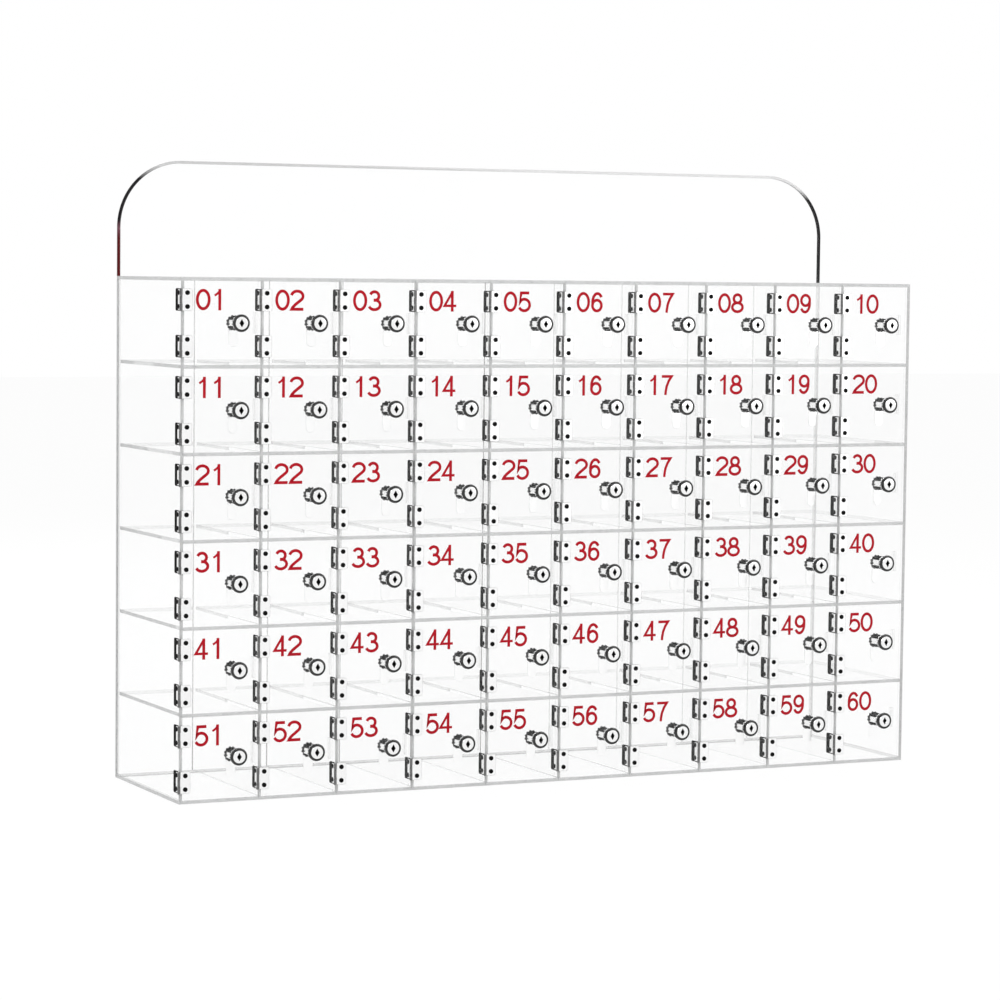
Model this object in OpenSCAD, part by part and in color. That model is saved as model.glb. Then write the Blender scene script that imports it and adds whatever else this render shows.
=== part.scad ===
// Clear cabinet of small numbered phone lockers, with a plain header board rising behind it.
// Every sheet is flat acrylic. The doors hang on small butt hinges and close with cam locks.
// Right is +X, the back is +Y, and the origin is the middle of the base.

/* [Cabinet] */
// Lockers side by side
columns = 10; // [2:1:10]
// Lockers one above the other
rows = 6; // [2:1:6]
// Distance from one upright wall to the next
column_pitch = 95; // [85:1:140]
// Distance from one shelf to the next
row_pitch = 98; // [94:1:200]
// Depth of the cabinet, from the front edges to the back of the back panel
depth = 220; // [120:1:320]
// Thickness of the cabinet's sheets
sheet_t = 4; // [2.5:0.5:5]
// Play around each sheet in the slots where shelves and dividers cross
slot_play = 0.1; // [0.05:0.05:0.3]

/* [Header] */
// Height of the header above the top panel
header_rise = 136; // [90:1:240]
// Radius of the header's two upper corners
header_corner_r = 79; // [10:1:88]

/* [Doors] */
// Thickness of a door
door_t = 3; // [2.5:0.5:5]
// Gap between a closed door and the front edges of the cabinet
door_rest_gap = 0.3; // [0.2:0.1:0.6]
// Gap between a door and the door above it
door_row_gap = 1; // [0.6:0.1:3]
// Gap between a door's hinged edge and the fixed leaf beside it
door_hinge_gap = 0.4; // [0.3:0.1:1]
// Gap between a door's free edge and the next hinge's knuckles
door_free_gap = 0.5; // [0.4:0.1:2]

/* [Hinges] */
// Height of a hinge
hinge_h = 25; // [20:0.5:30]
// Distance from a hinge's axis to the outer edge of its leaf on the wall
wall_leaf_reach = 20; // [14:0.5:24]
// Distance from a hinge's axis to the outer edge of its leaf on the door
door_leaf_reach = 14; // [12:0.5:20]
// Thickness of a leaf
leaf_t = 0.9; // [0.6:0.1:1.2]
// Bevel on a leaf's two outer corners
leaf_bevel = 1.6; // [0.5:0.1:2.5]
// Diameter of the knuckles
knuckle_d = 3.2; // [2.8:0.1:4]
// Height of the middle knuckle, which turns with the door
middle_knuckle_h = 9; // [6:0.5:11]
// Gap between one knuckle and the next
knuckle_gap = 0.25; // [0.15:0.05:0.4]
// Gap between a knuckle and the leaf that turns round it
knuckle_run = 0.4; // [0.3:0.1:0.8]
// Distance that the knuckles stand off the faces of the leaves
knuckle_relief = 0.1; // [0.05:0.05:0.3]
// Diameter of the hinge pin
pin_d = 1.6; // [1.2:0.1:1.8]
// Diameter of the pin's two heads
pin_head_d = 2.6; // [2.2:0.1:2.8]
// Height of a pin head
pin_head_h = 0.5; // [0.3:0.1:1]
// Play between the pin and the knuckles, all round
pin_play = 0.05; // [0.03:0.01:0.08]
// Distance from the middle of a door to the middle of each hinge
hinge_offset = 26; // [20:0.5:30]

/* [Hinge screws] */
// Distance from a hinge's axis to its screws in the wall
wall_screw_reach = 10.8; // [8:0.1:11]
// Distance from a hinge's axis to its screws in the door
door_screw_reach = 8; // [7:0.1:9]
// Distance between the two screws of a leaf
screw_spacing = 15.5; // [12:0.5:16]
// Diameter of a screw's shank
screw_d = 2.5; // [2:0.1:3]
// Diameter of a screw's head
screw_head_d = 5.4; // [4:0.1:5.6]
// Height of a screw's head
screw_head_h = 1.1; // [0.8:0.1:1.5]
// Bevel round the top of a screw's head
screw_head_bevel = 0.5; // [0.2:0.1:0.7]
// Material left between a screw's tip and the far face of its sheet
screw_short = 0.4; // [0.2:0.1:1]
// Play between a screw and its hole, all round
screw_play = 0.05; // [0.03:0.01:0.2]

/* [Locks] */
// Distance from a lock's axis to the wall that its cam reaches into
lock_inset = 24.5; // [22:0.5:30]
// Diameter of the ring on the front of the door
ring_d = 20; // [18:0.5:24]
// Thickness of the ring
ring_t = 2.5; // [2:0.1:4]
// Bevel on the ring's front edge
ring_bevel = 0.7; // [0.3:0.1:1]
// Diameter of the lock's barrel
barrel_d = 16; // [15:0.5:17]
// Distance across the barrel's two flats
barrel_flats = 13.5; // [13:0.5:15]
// Length of the barrel behind the door
barrel_l = 20; // [14:0.5:26]
// Play between the barrel and the door or nut, all round
barrel_play = 0.1; // [0.05:0.05:0.3]
// Diameter over the teeth of the nut that clamps the barrel
nut_d = 18.6; // [18.2:0.2:26]
// Thickness of the nut
nut_t = 2; // [1.5:0.5:6]
// Number of teeth round the nut
nut_teeth = 14; // [8:1:20]
// Depth of the grooves between the nut's teeth
nut_groove = 0.7; // [0.4:0.1:0.8]

/* [Lock plugs] */
// Diameter of the plug that the key turns
plug_d = 11; // [10:0.5:12]
// Diameter of the plug's face
plug_face_d = 15; // [13:0.5:15.5]
// Thickness of the plug's face
plug_face_t = 1.4; // [1:0.1:1.8]
// Play between the plug and the lock's body, all round
plug_play = 0.05; // [0.03:0.01:0.08]
// Width of the keyhole
key_w = 5.6; // [3:0.1:6.5]
// Height of the keyhole
key_h = 9.2; // [6:0.1:9.6]
// Depth of the keyhole
key_depth = 7; // [3:0.5:10]
// Size of the square end that drives the cam
drive_w = 7; // [6:0.5:7.5]
// Play between that square end and the pieces on it, all round
drive_play = 0.05; // [0.03:0.01:0.1]
// Gap between the turning stop washer and the barrel's end
cam_run = 0.15; // [0.1:0.05:0.4]

/* [Cams] */
// Diameter over the teeth of the stop washer in front of the cam
stop_d = 17.6; // [16:0.2:19]
// Thickness of the stop washer
stop_t = 1.5; // [1:0.1:2.5]
// Number of teeth round the stop washer
stop_teeth = 12; // [8:1:16]
// Depth of the notches between the stop washer's teeth
stop_notch = 1; // [0.5:0.1:1.5]
// Length of the cam, from the lock's axis to its tip
cam_reach = 27; // [26:0.5:27.4]
// Width of the cam's arm
cam_w = 11; // [9:0.5:13]
// Diameter of the cam's round end on the plug
cam_hub_d = 15; // [13:0.5:16]
// Thickness of the cam
cam_t = 2; // [1.5:0.1:3]
// Room round the cam in the slot that it locks into
keeper_play = 1; // [0.6:0.1:2]
// Diameter of the washer behind the cam
washer_d = 11; // [10:0.5:13]
// Thickness of the washer
washer_t = 0.8; // [0.5:0.1:1.5]
// Width of the cam bolt's head, across its flats
bolt_flats = 7; // [6:0.5:8]
// Thickness of the cam bolt's head
bolt_head_t = 2.8; // [2:0.1:4]
// Diameter of the cam bolt's shank
bolt_d = 4; // [3:0.5:4.5]
// Length of the cam bolt inside the plug
bolt_grip = 7; // [4:0.5:8]
// Gap left between pieces that are clamped together
seat_gap = 0.02; // [0.01:0.01:0.04]

/* [Hidden] */
width = columns * column_pitch + sheet_t;
height = rows * row_pitch + sheet_t;
header_top = height + header_rise;
front_y = -depth / 2;
back_y = depth / 2;
inner_depth = depth - sheet_t;
inner_width = width - 2 * sheet_t;
inner_height = height - 2 * sheet_t;
cross_y = front_y + inner_depth / 2;
door_back_y = front_y - door_rest_gap;
door_front_y = door_back_y - door_t;
knuckle_r = knuckle_d / 2;
axis_offset = knuckle_r + knuckle_relief;
hinge_y = door_front_y - axis_offset;
door_w = column_pitch - door_hinge_gap - axis_offset - knuckle_r - door_free_gap;
door_h = row_pitch - door_row_gap;
outer_knuckle_h = (hinge_h - middle_knuckle_h) / 2 - knuckle_gap;
ring_front_y = door_front_y - ring_t;
barrel_end = ring_t + door_t + barrel_l;
stop_front = barrel_end + cam_run;
cam_front = stop_front + stop_t + seat_gap;
cam_y = ring_front_y + cam_front;
washer_front = cam_front + cam_t + seat_gap;
bolt_front = washer_front + washer_t + seat_gap;
cam_tip_r = cam_w / 2;
keeper_h = 2 * sqrt(cam_reach * cam_reach - lock_inset * lock_inset) + 2 * keeper_play;
bolt_hole_d = bolt_d + 2 * screw_play;
through = 1;

// Left face of an upright wall; wall 0 is the left side and the last one is the right side
function wall_x(wall) = -width / 2 + wall * column_pitch;
// Underside of the sheet below a row; row 1 is the top one
function floor_z(row) = (rows - row) * row_pitch;
function middle_z(row) = floor_z(row) + (row_pitch + sheet_t) / 2;
function hinge_x(column) = wall_x(column - 1) - axis_offset;
function lock_x(column) = wall_x(column) - lock_inset;
function two_digits(n) = n < 10 ? str("0", n) : str(n);
function door_node(row, part) = str("door_", two_digits((row - 1) * columns + 1), "_", part);
function column_node(column, part) = str("column_", two_digits(column), "_", part);

cabinet_parts = ["back_panel", "top_panel", "bottom_panel", "left_side_panel", "right_side_panel",
    "shelves", "dividers", "fixed_hinge_leaves", "fixed_leaf_screws"];
door_parts = ["panel", "hinge_leaves", "lock_body", "lock_plug"];
column_parts = ["door_panels", "hinge_leaves", "cam_locks"];

acrylic_colour = [0.86, 0.9, 0.92, 0.4];
leaf_colour = [0.72, 0.73, 0.75];
lock_colour = [0.8, 0.81, 0.83];
screw_colour = [0.08, 0.08, 0.09];

// Round bar along +Y, with its first end at the point given
module bar_y(x, y, z, d, l) {
    translate([x, y, z])
        rotate([-90, 0, 0])
            cylinder(d = d, h = l, $fn = 32);
}

// Round bar along +X, with its first end at the point given
module bar_x(x, y, z, d, l) {
    translate([x, y, z])
        rotate([0, 90, 0])
            cylinder(d = d, h = l, $fn = 32);
}

// Calls its children at the middle height of each of a door's two hinges
module at_hinges(row) {
    for (side = [-1, 1])
        translate([0, 0, middle_z(row) + side * hinge_offset])
            children();
}

module back_panel() {
    color(acrylic_colour)
        translate([0, back_y, 0])
            rotate([90, 0, 0])
                linear_extrude(sheet_t) {
                    translate([-width / 2, 0])
                        square([width, header_top - header_corner_r]);
                    translate([-width / 2 + header_corner_r, 0])
                        square([width - 2 * header_corner_r, header_top]);
                    for (side = [-1, 1])
                        translate([side * (width / 2 - header_corner_r), header_top - header_corner_r])
                            circle(r = header_corner_r, $fn = 160);
                }
}

module top_panel() {
    color(acrylic_colour)
        translate([-width / 2, front_y, height - sheet_t])
            cube([width, inner_depth, sheet_t]);
}

module bottom_panel() {
    color(acrylic_colour)
        translate([-width / 2, front_y, 0])
            cube([width, inner_depth, sheet_t]);
}

// Upright wall between the top and bottom panels
module wall_sheet(wall) {
    translate([wall_x(wall), front_y, sheet_t])
        cube([sheet_t, inner_depth, inner_height]);
}

// Holes for the screws of the hinges on a wall's left face
module hinge_screw_holes(wall) {
    for (row = [1 : rows])
        at_hinges(row)
            for (end = [-1, 1])
                bar_x(wall_x(wall) - through, hinge_y + wall_screw_reach, end * screw_spacing / 2,
                    screw_d + 2 * screw_play, sheet_t + 2 * through);
}

// Slots that the cams of the column on a wall's left turn into
module keeper_slots(wall) {
    for (row = [1 : rows])
        translate([wall_x(wall) - through, cam_y - keeper_play, middle_z(row) - keeper_h / 2])
            cube([sheet_t + 2 * through, cam_t + 2 * keeper_play, keeper_h]);
}

module left_side_panel() {
    color(acrylic_colour)
        difference() {
            wall_sheet(0);
            hinge_screw_holes(0);
        }
}

module right_side_panel() {
    color(acrylic_colour)
        difference() {
            wall_sheet(columns);
            keeper_slots(columns);
        }
}

// Shelves, slotted from behind so that each divider slides in
module shelves() {
    color(acrylic_colour)
        for (row = [1 : rows - 1])
            difference() {
                translate([-inner_width / 2, front_y, floor_z(row)])
                    cube([inner_width, inner_depth, sheet_t]);
                for (wall = [1 : columns - 1])
                    translate([wall_x(wall) - slot_play, cross_y, floor_z(row) - through])
                        cube([sheet_t + 2 * slot_play, inner_depth, sheet_t + 2 * through]);
            }
}

// Dividers, slotted from the front so that each shelf slides in
module dividers() {
    color(acrylic_colour)
        for (wall = [1 : columns - 1])
            difference() {
                wall_sheet(wall);
                hinge_screw_holes(wall);
                keeper_slots(wall);
                for (row = [1 : rows - 1])
                    translate([wall_x(wall) - through, front_y - through, floor_z(row) - slot_play])
                        cube([sheet_t + 2 * through, cross_y - front_y + through + slot_play,
                            sheet_t + 2 * slot_play]);
            }
}

// Flat of a leaf: along +X from the axis, cut back at each knuckle of the other leaf
module leaf_flat(notches, reach, screw_at) {
    notch_w = knuckle_r + knuckle_run + through;
    difference() {
        polygon([
            [0, -hinge_h / 2],
            [reach - leaf_bevel, -hinge_h / 2],
            [reach, -hinge_h / 2 + leaf_bevel],
            [reach, hinge_h / 2 - leaf_bevel],
            [reach - leaf_bevel, hinge_h / 2],
            [0, hinge_h / 2]]);
        for (notch = notches)
            translate([-through, notch[0]])
                square([notch_w, notch[1] - notch[0]]);
        for (end = [-1, 1])
            translate([screw_at, end * screw_spacing / 2])
                circle(d = screw_d + 2 * screw_play, $fn = 32);
    }
}

// Knuckle round the axis, from one height to another
module knuckle(bottom, top) {
    translate([0, 0, bottom])
        cylinder(d = knuckle_d, h = top - bottom, $fn = 32);
}

module pin_bore() {
    translate([0, 0, -hinge_h / 2 - through])
        cylinder(d = pin_d + 2 * pin_play, h = hinge_h + 2 * through, $fn = 32);
}

// Leaf on the wall, with the hinge's axis at the origin: its flat runs back along +Y
module fixed_leaf() {
    knuckle_end = hinge_h / 2 - outer_knuckle_h;
    difference() {
        union() {
            translate([axis_offset - leaf_t, 0, 0])
                rotate([90, 0, 90])
                    linear_extrude(leaf_t)
                        leaf_flat([[-knuckle_end, knuckle_end]], wall_leaf_reach, wall_screw_reach);
            knuckle(knuckle_end, hinge_h / 2);
            knuckle(-hinge_h / 2, -knuckle_end);
        }
        pin_bore();
    }
}

// Leaf on the door, with the hinge's axis at the origin: its flat runs right along +X
module door_leaf() {
    knuckle_end = middle_knuckle_h / 2;
    difference() {
        union() {
            translate([0, axis_offset, 0])
                rotate([90, 0, 0])
                    linear_extrude(leaf_t)
                        leaf_flat([[-hinge_h, -knuckle_end], [knuckle_end, hinge_h]], door_leaf_reach,
                        door_screw_reach);
            knuckle(-knuckle_end, knuckle_end);
        }
        pin_bore();
    }
}

module hinge_pin() {
    head_z = hinge_h / 2 + seat_gap;
    cylinder(d = pin_d, h = 2 * head_z, center = true, $fn = 32);
    for (side = [0, 1])
        mirror([0, 0, side])
            translate([0, 0, head_z])
                cylinder(d = pin_head_d, h = pin_head_h, $fn = 32);
}

// Screw along +Z, with the underside of its head at the origin
module hinge_screw(grip) {
    head_r = screw_head_d / 2;
    rotate_extrude($fn = 24)
        polygon([
            [0, -screw_head_h],
            [head_r - screw_head_bevel, -screw_head_h],
            [head_r, screw_head_bevel - screw_head_h],
            [head_r, 0],
            [screw_d / 2, 0],
            [screw_d / 2, grip - screw_short],
            [0, grip - screw_short]]);
}

module fixed_hinge_leaves() {
    color(leaf_colour)
        for (column = [1 : columns])
            for (row = [1 : rows])
                translate([hinge_x(column), hinge_y, 0])
                    at_hinges(row) {
                        fixed_leaf();
                        hinge_pin();
                    }
}

module fixed_leaf_screws() {
    color(screw_colour)
        for (column = [1 : columns])
            for (row = [1 : rows])
                at_hinges(row)
                    for (end = [-1, 1])
                        translate([wall_x(column - 1) - leaf_t - seat_gap, hinge_y + wall_screw_reach,
                                end * screw_spacing / 2])
                            rotate([0, 90, 0])
                                hinge_screw(leaf_t + sheet_t);
}

// Door sheet, with its screw holes and the hole that keeps the lock from turning
module door_panel(row, column) {
    color(acrylic_colour)
        difference() {
            translate([wall_x(column - 1) + door_hinge_gap, door_front_y, middle_z(row) - door_h / 2])
                cube([door_w, door_t, door_h]);
            at_hinges(row)
                for (end = [-1, 1])
                    bar_y(hinge_x(column) + door_screw_reach, door_front_y - through, end * screw_spacing / 2,
                        screw_d + 2 * screw_play, door_t + 2 * through);
            intersection() {
                bar_y(lock_x(column), door_front_y - through, middle_z(row),
                    barrel_d + 2 * barrel_play, door_t + 2 * through);
                translate([lock_x(column), door_front_y, middle_z(row)])
                    cube([barrel_flats + 2 * barrel_play, 4 * door_t, 2 * barrel_d], center = true);
            }
        }
}

// Leaves that turn with a door, and the screws that hold them
module door_hinge_leaves(row, column) {
    at_hinges(row) {
        color(leaf_colour)
            translate([hinge_x(column), hinge_y, 0])
                door_leaf();
        color(screw_colour)
            for (end = [-1, 1])
                translate([hinge_x(column) + door_screw_reach, door_front_y - leaf_t - seat_gap,
                        end * screw_spacing / 2])
                    rotate([-90, 0, 0])
                        hinge_screw(leaf_t + door_t);
    }
}

// Calls its children with +Z along a lock, from the front of its ring into the locker
module at_lock(row, column) {
    translate([lock_x(column), ring_front_y, middle_z(row)])
        rotate([-90, 0, 0])
            children();
}

// Ring and barrel in one, with two flats on the barrel
module lock_shell() {
    bore_r = plug_d / 2 + plug_play;
    face_r = plug_face_d / 2 + plug_play;
    face_t = plug_face_t + seat_gap;
    difference() {
        rotate_extrude($fn = 48)
            polygon([
                [bore_r, face_t],
                [face_r, face_t],
                [face_r, 0],
                [ring_d / 2 - ring_bevel, 0],
                [ring_d / 2, ring_bevel],
                [ring_d / 2, ring_t],
                [barrel_d / 2, ring_t],
                [barrel_d / 2, barrel_end],
                [bore_r, barrel_end]]);
        for (side = [0, 1])
            mirror([side, 0, 0])
                translate([barrel_flats / 2, -barrel_d, ring_t])
                    cube([barrel_d, 2 * barrel_d, barrel_end]);
    }
}

// Toothed nut that clamps the barrel to the back of the door
module lock_nut() {
    translate([0, 0, ring_t + door_t])
        linear_extrude(nut_t)
            difference() {
                toothed_disc(nut_d / 2, nut_groove, nut_teeth);
                circle(d = barrel_d + 2 * barrel_play, $fn = 48);
            }
}

// Plug with the keyhole in its face, the square end for the cam and the hole for the bolt
module plug() {
    face_r = plug_face_d / 2;
    shoulder = stop_front - seat_gap;
    drive_end = cam_front + cam_t - seat_gap;
    difference() {
        union() {
            cylinder(r = face_r, h = plug_face_t, $fn = 48);
            cylinder(d = plug_d, h = shoulder, $fn = 48);
            translate([-drive_w / 2, -drive_w / 2, shoulder - through])
                cube([drive_w, drive_w, drive_end - shoulder + through]);
        }
        translate([0, 0, -through])
            linear_extrude(key_depth + through)
                polygon([[-key_w / 2, 0], [0, -key_h / 2], [key_w / 2, 0], [0, key_h / 2]]);
        translate([0, 0, washer_front - bolt_grip - through])
            cylinder(d = bolt_hole_d, h = bolt_grip + 2 * through, $fn = 32);
    }
}

// Disc with teeth or notches round it; r is the radius over its teeth
module toothed_disc(r, notch, teeth) {
    polygon([for (i = [0 : 2 * teeth - 1])
        let (reach = r - notch * (i % 2), a = 180 * i / teeth)
            [reach * cos(a), reach * sin(a)]]);
}

// Washer on the plug's square end, between the barrel and the cam
module stop_washer() {
    translate([0, 0, stop_front])
        linear_extrude(stop_t)
            difference() {
                toothed_disc(stop_d / 2, stop_notch, stop_teeth);
                square(drive_w + 2 * drive_play, center = true);
            }
}

// Cam on the plug's square end, pointing down where the lock is open
module cam() {
    hole_w = drive_w + 2 * drive_play;
    translate([0, 0, cam_front])
        linear_extrude(cam_t)
            difference() {
                union() {
                    circle(d = cam_hub_d, $fn = 48);
                    translate([-cam_w / 2, 0])
                        square([cam_w, cam_reach - cam_tip_r]);
                    translate([0, cam_reach - cam_tip_r])
                        circle(r = cam_tip_r, $fn = 48);
                }
                square(hole_w, center = true);
            }
}

module cam_washer() {
    translate([0, 0, washer_front])
        difference() {
            cylinder(d = washer_d, h = washer_t, $fn = 48);
            translate([0, 0, -through])
                cylinder(d = bolt_hole_d, h = washer_t + 2 * through, $fn = 32);
        }
}

module cam_bolt() {
    translate([0, 0, bolt_front])
        cylinder(d = bolt_flats / cos(30), h = bolt_head_t, $fn = 6);
    translate([0, 0, washer_front - bolt_grip])
        cylinder(d = bolt_d, h = bolt_grip + washer_t + 2 * seat_gap, $fn = 32);
}

module lock_body(row, column) {
    color(lock_colour)
        at_lock(row, column) {
            lock_shell();
            lock_nut();
        }
}

module lock_plug(row, column) {
    color(lock_colour)
        at_lock(row, column) {
            plug();
            stop_washer();
            cam();
            cam_washer();
            cam_bolt();
        }
}

back_panel();
top_panel();
bottom_panel();
left_side_panel();
right_side_panel();
shelves();
dividers();
fixed_hinge_leaves();
fixed_leaf_screws();

// The first column's doors are made one by one
for (row = [1 : rows]) {
    door_panel(row, 1);
    door_hinge_leaves(row, 1);
    lock_body(row, 1);
    lock_plug(row, 1);
}

// Every other column's doors are made together
for (column = [2 : columns])
    for (row = [1 : rows]) {
        door_panel(row, column);
        door_hinge_leaves(row, column);
        union() {
            lock_body(row, column);
            lock_plug(row, column);
        }
    }
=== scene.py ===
import math

import bmesh
import bpy
from mathutils import Matrix, Vector


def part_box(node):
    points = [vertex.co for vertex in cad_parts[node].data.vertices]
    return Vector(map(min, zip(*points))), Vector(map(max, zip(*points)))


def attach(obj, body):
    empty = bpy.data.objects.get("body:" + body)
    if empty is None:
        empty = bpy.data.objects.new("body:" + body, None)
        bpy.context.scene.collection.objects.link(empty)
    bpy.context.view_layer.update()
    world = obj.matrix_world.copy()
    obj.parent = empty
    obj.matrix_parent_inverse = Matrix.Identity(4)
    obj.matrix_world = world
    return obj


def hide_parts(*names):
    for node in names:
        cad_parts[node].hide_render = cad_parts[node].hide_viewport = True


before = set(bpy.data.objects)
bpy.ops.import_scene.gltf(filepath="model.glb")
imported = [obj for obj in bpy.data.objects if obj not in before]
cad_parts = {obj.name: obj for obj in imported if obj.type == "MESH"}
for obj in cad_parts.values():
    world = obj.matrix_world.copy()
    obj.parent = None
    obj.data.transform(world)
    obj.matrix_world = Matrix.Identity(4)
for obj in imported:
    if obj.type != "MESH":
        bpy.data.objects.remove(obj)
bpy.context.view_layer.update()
scene = bpy.context.scene
mm = 0.001

# The cabinet's own measures, read from the frame
rows = 6
columns = 10
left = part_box("left_side_panel")[0].x
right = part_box("right_side_panel")[1].x
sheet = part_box("left_side_panel")[1].x - left
columnPitch = (right - sheet - left) / columns
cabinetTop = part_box("top_panel")[1].z
rowPitch = (cabinetTop - sheet) / rows
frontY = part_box("left_side_panel")[0].y
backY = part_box("back_panel")[1].y
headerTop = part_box("back_panel")[1].z
doorLow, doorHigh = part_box("door_01_panel")
doorFront = doorLow.y
doorSheet = doorHigh.y - doorFront


def wallX(wall):
    return left + wall * columnPitch


def middleZ(row):
    return (rows - row) * rowPitch + (rowPitch + sheet) / 2


def doorNumber(row, column):
    return (row - 1) * columns + column


# The bodies that carry doors, with the row and column of each of their doors
doorBodies = {f"door_{doorNumber(row, 1):02d}": [(row, 1)] for row in range(1, rows + 1)}
for column in range(2, columns + 1):
    doorBodies[f"column_{column:02d}_doors"] = [(row, column) for row in range(1, rows + 1)]


# Camera at the photograph's angle
camera = {
    "place": (-1.7542, -3.6222, 0.6013),
    "yaw": 25.474,
    "pitch": 3.906,
    "roll": 0.632,
    "lens": 120.14,
}


def addCamera():
    data = bpy.data.cameras.new("camera")
    data.lens = camera["lens"]
    data.sensor_width = 36
    data.clip_end = 60
    eye = bpy.data.objects.new("camera", data)
    eye.matrix_world = (
        Matrix.Translation(camera["place"])
        @ Matrix.Rotation(math.radians(-camera["yaw"]), 4, "Z")
        @ Matrix.Rotation(math.radians(90 - camera["pitch"]), 4, "X")
        @ Matrix.Rotation(math.radians(camera["roll"]), 4, "Z")
    )
    scene.collection.objects.link(eye)
    scene.camera = eye


# Nodes, for the shaders and the geometry trees alike
def put(tree, kind, inputs=None, **settings):
    node = tree.nodes.new(kind)
    for name, value in settings.items():
        setattr(node, name, value)
    for name, value in (inputs or {}).items():
        if isinstance(value, bpy.types.NodeSocket):
            tree.links.new(value, node.inputs[name])
        else:
            node.inputs[name].default_value = value
    return node


def calc(tree, operation, a, b=0.0, c=0.0):
    return put(tree, "ShaderNodeMath", {0: a, 1: b, 2: c}, operation=operation).outputs[0]


def newGroup(name, kind, inputs, outputs):
    tree = bpy.data.node_groups.new(name, kind)
    for label, socketKind, value in inputs:
        socket = tree.interface.new_socket(label, in_out="INPUT", socket_type=socketKind)
        if value is not None:
            socket.default_value = value
    for label, socketKind in outputs:
        tree.interface.new_socket(label, in_out="OUTPUT", socket_type=socketKind)
    return tree, tree.nodes.new("NodeGroupInput").outputs, tree.nodes.new("NodeGroupOutput").inputs


number, vector = "NodeSocketFloat", "NodeSocketVector"


# Long fine grain, as on brushed or rolled metal and cut acrylic edges
def grainGroup():
    tree, given, result = newGroup(
        "fineGrain", "ShaderNodeTree",
        [("Vector", vector, None), ("Scale", vector, (1.0, 1.0, 1.0)), ("Contrast", number, 1.0)],
        [("Tone", number), ("Height", number)],
    )
    stretched = put(tree, "ShaderNodeVectorMath", {0: given["Vector"], 1: given["Scale"]}, operation="MULTIPLY")
    noise = put(tree, "ShaderNodeTexNoise", {"Vector": stretched.outputs[0], "Scale": 1.0, "Detail": 3.0})
    centred = calc(tree, "SUBTRACT", noise.outputs["Fac"], 0.5)
    tone = calc(tree, "MULTIPLY_ADD", centred, given["Contrast"], 0.5)
    tree.links.new(tone, result["Tone"])
    tree.links.new(noise.outputs["Fac"], result["Height"])
    return tree


# Hairline scratches in two directions, 1 on a scratch and 0 beside it
def scratchGroup():
    tree, given, result = newGroup(
        "hairlineScratches", "ShaderNodeTree",
        [("Vector", vector, None), ("Scale", number, 60.0), ("Amount", number, 0.08)],
        [("Mask", number)],
    )
    masks = []
    for turn, seed in ((0.5, 0.0), (-0.9, 7.0)):
        turned = put(
            tree, "ShaderNodeVectorRotate", {"Vector": given["Vector"], "Axis": (0.3, 0.9, 0.2), "Angle": turn}
        )
        moved = put(
            tree, "ShaderNodeMapping",
            {"Vector": turned.outputs[0], "Location": (seed, seed, seed), "Scale": (1.0, 1.0, 0.02)},
        )
        noise = put(
            tree, "ShaderNodeTexNoise", {"Vector": moved.outputs[0], "Scale": given["Scale"], "Detail": 1.0}
        )
        high = calc(tree, "SUBTRACT", 0.74, given["Amount"])
        masks.append(put(
            tree, "ShaderNodeMapRange", {0: noise.outputs["Fac"], 1: high, 2: 0.76, 3: 0.0, 4: 1.0}
        ).outputs[0])
    tree.links.new(calc(tree, "MAXIMUM", *masks), result["Mask"])
    return tree


# Thin dust and haze, from 0 where the sheet is clean to 1
def hazeGroup():
    tree, given, result = newGroup(
        "dustHaze", "ShaderNodeTree",
        [("Vector", vector, None), ("Cloud Scale", number, 9.0), ("Speck Scale", number, 900.0)],
        [("Cloud", number), ("Specks", number)],
    )
    cloud = put(
        tree, "ShaderNodeTexNoise", {"Vector": given["Vector"], "Scale": given["Cloud Scale"], "Detail": 4.0}
    )
    soft = put(tree, "ShaderNodeMapRange", {0: cloud.outputs["Fac"], 1: 0.35, 2: 0.7, 3: 0.0, 4: 1.0})
    cells = put(tree, "ShaderNodeTexVoronoi", {"Vector": given["Vector"], "Scale": given["Speck Scale"]})
    speck = put(tree, "ShaderNodeMapRange", {0: cells.outputs["Distance"], 1: 0.16, 2: 0.08, 3: 0.0, 4: 1.0})
    tree.links.new(soft.outputs[0], result["Cloud"])
    tree.links.new(calc(tree, "MULTIPLY", speck.outputs[0], soft.outputs[0]), result["Specks"])
    return tree


groups = {"grain": grainGroup(), "scratches": scratchGroup(), "haze": hazeGroup()}


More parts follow.
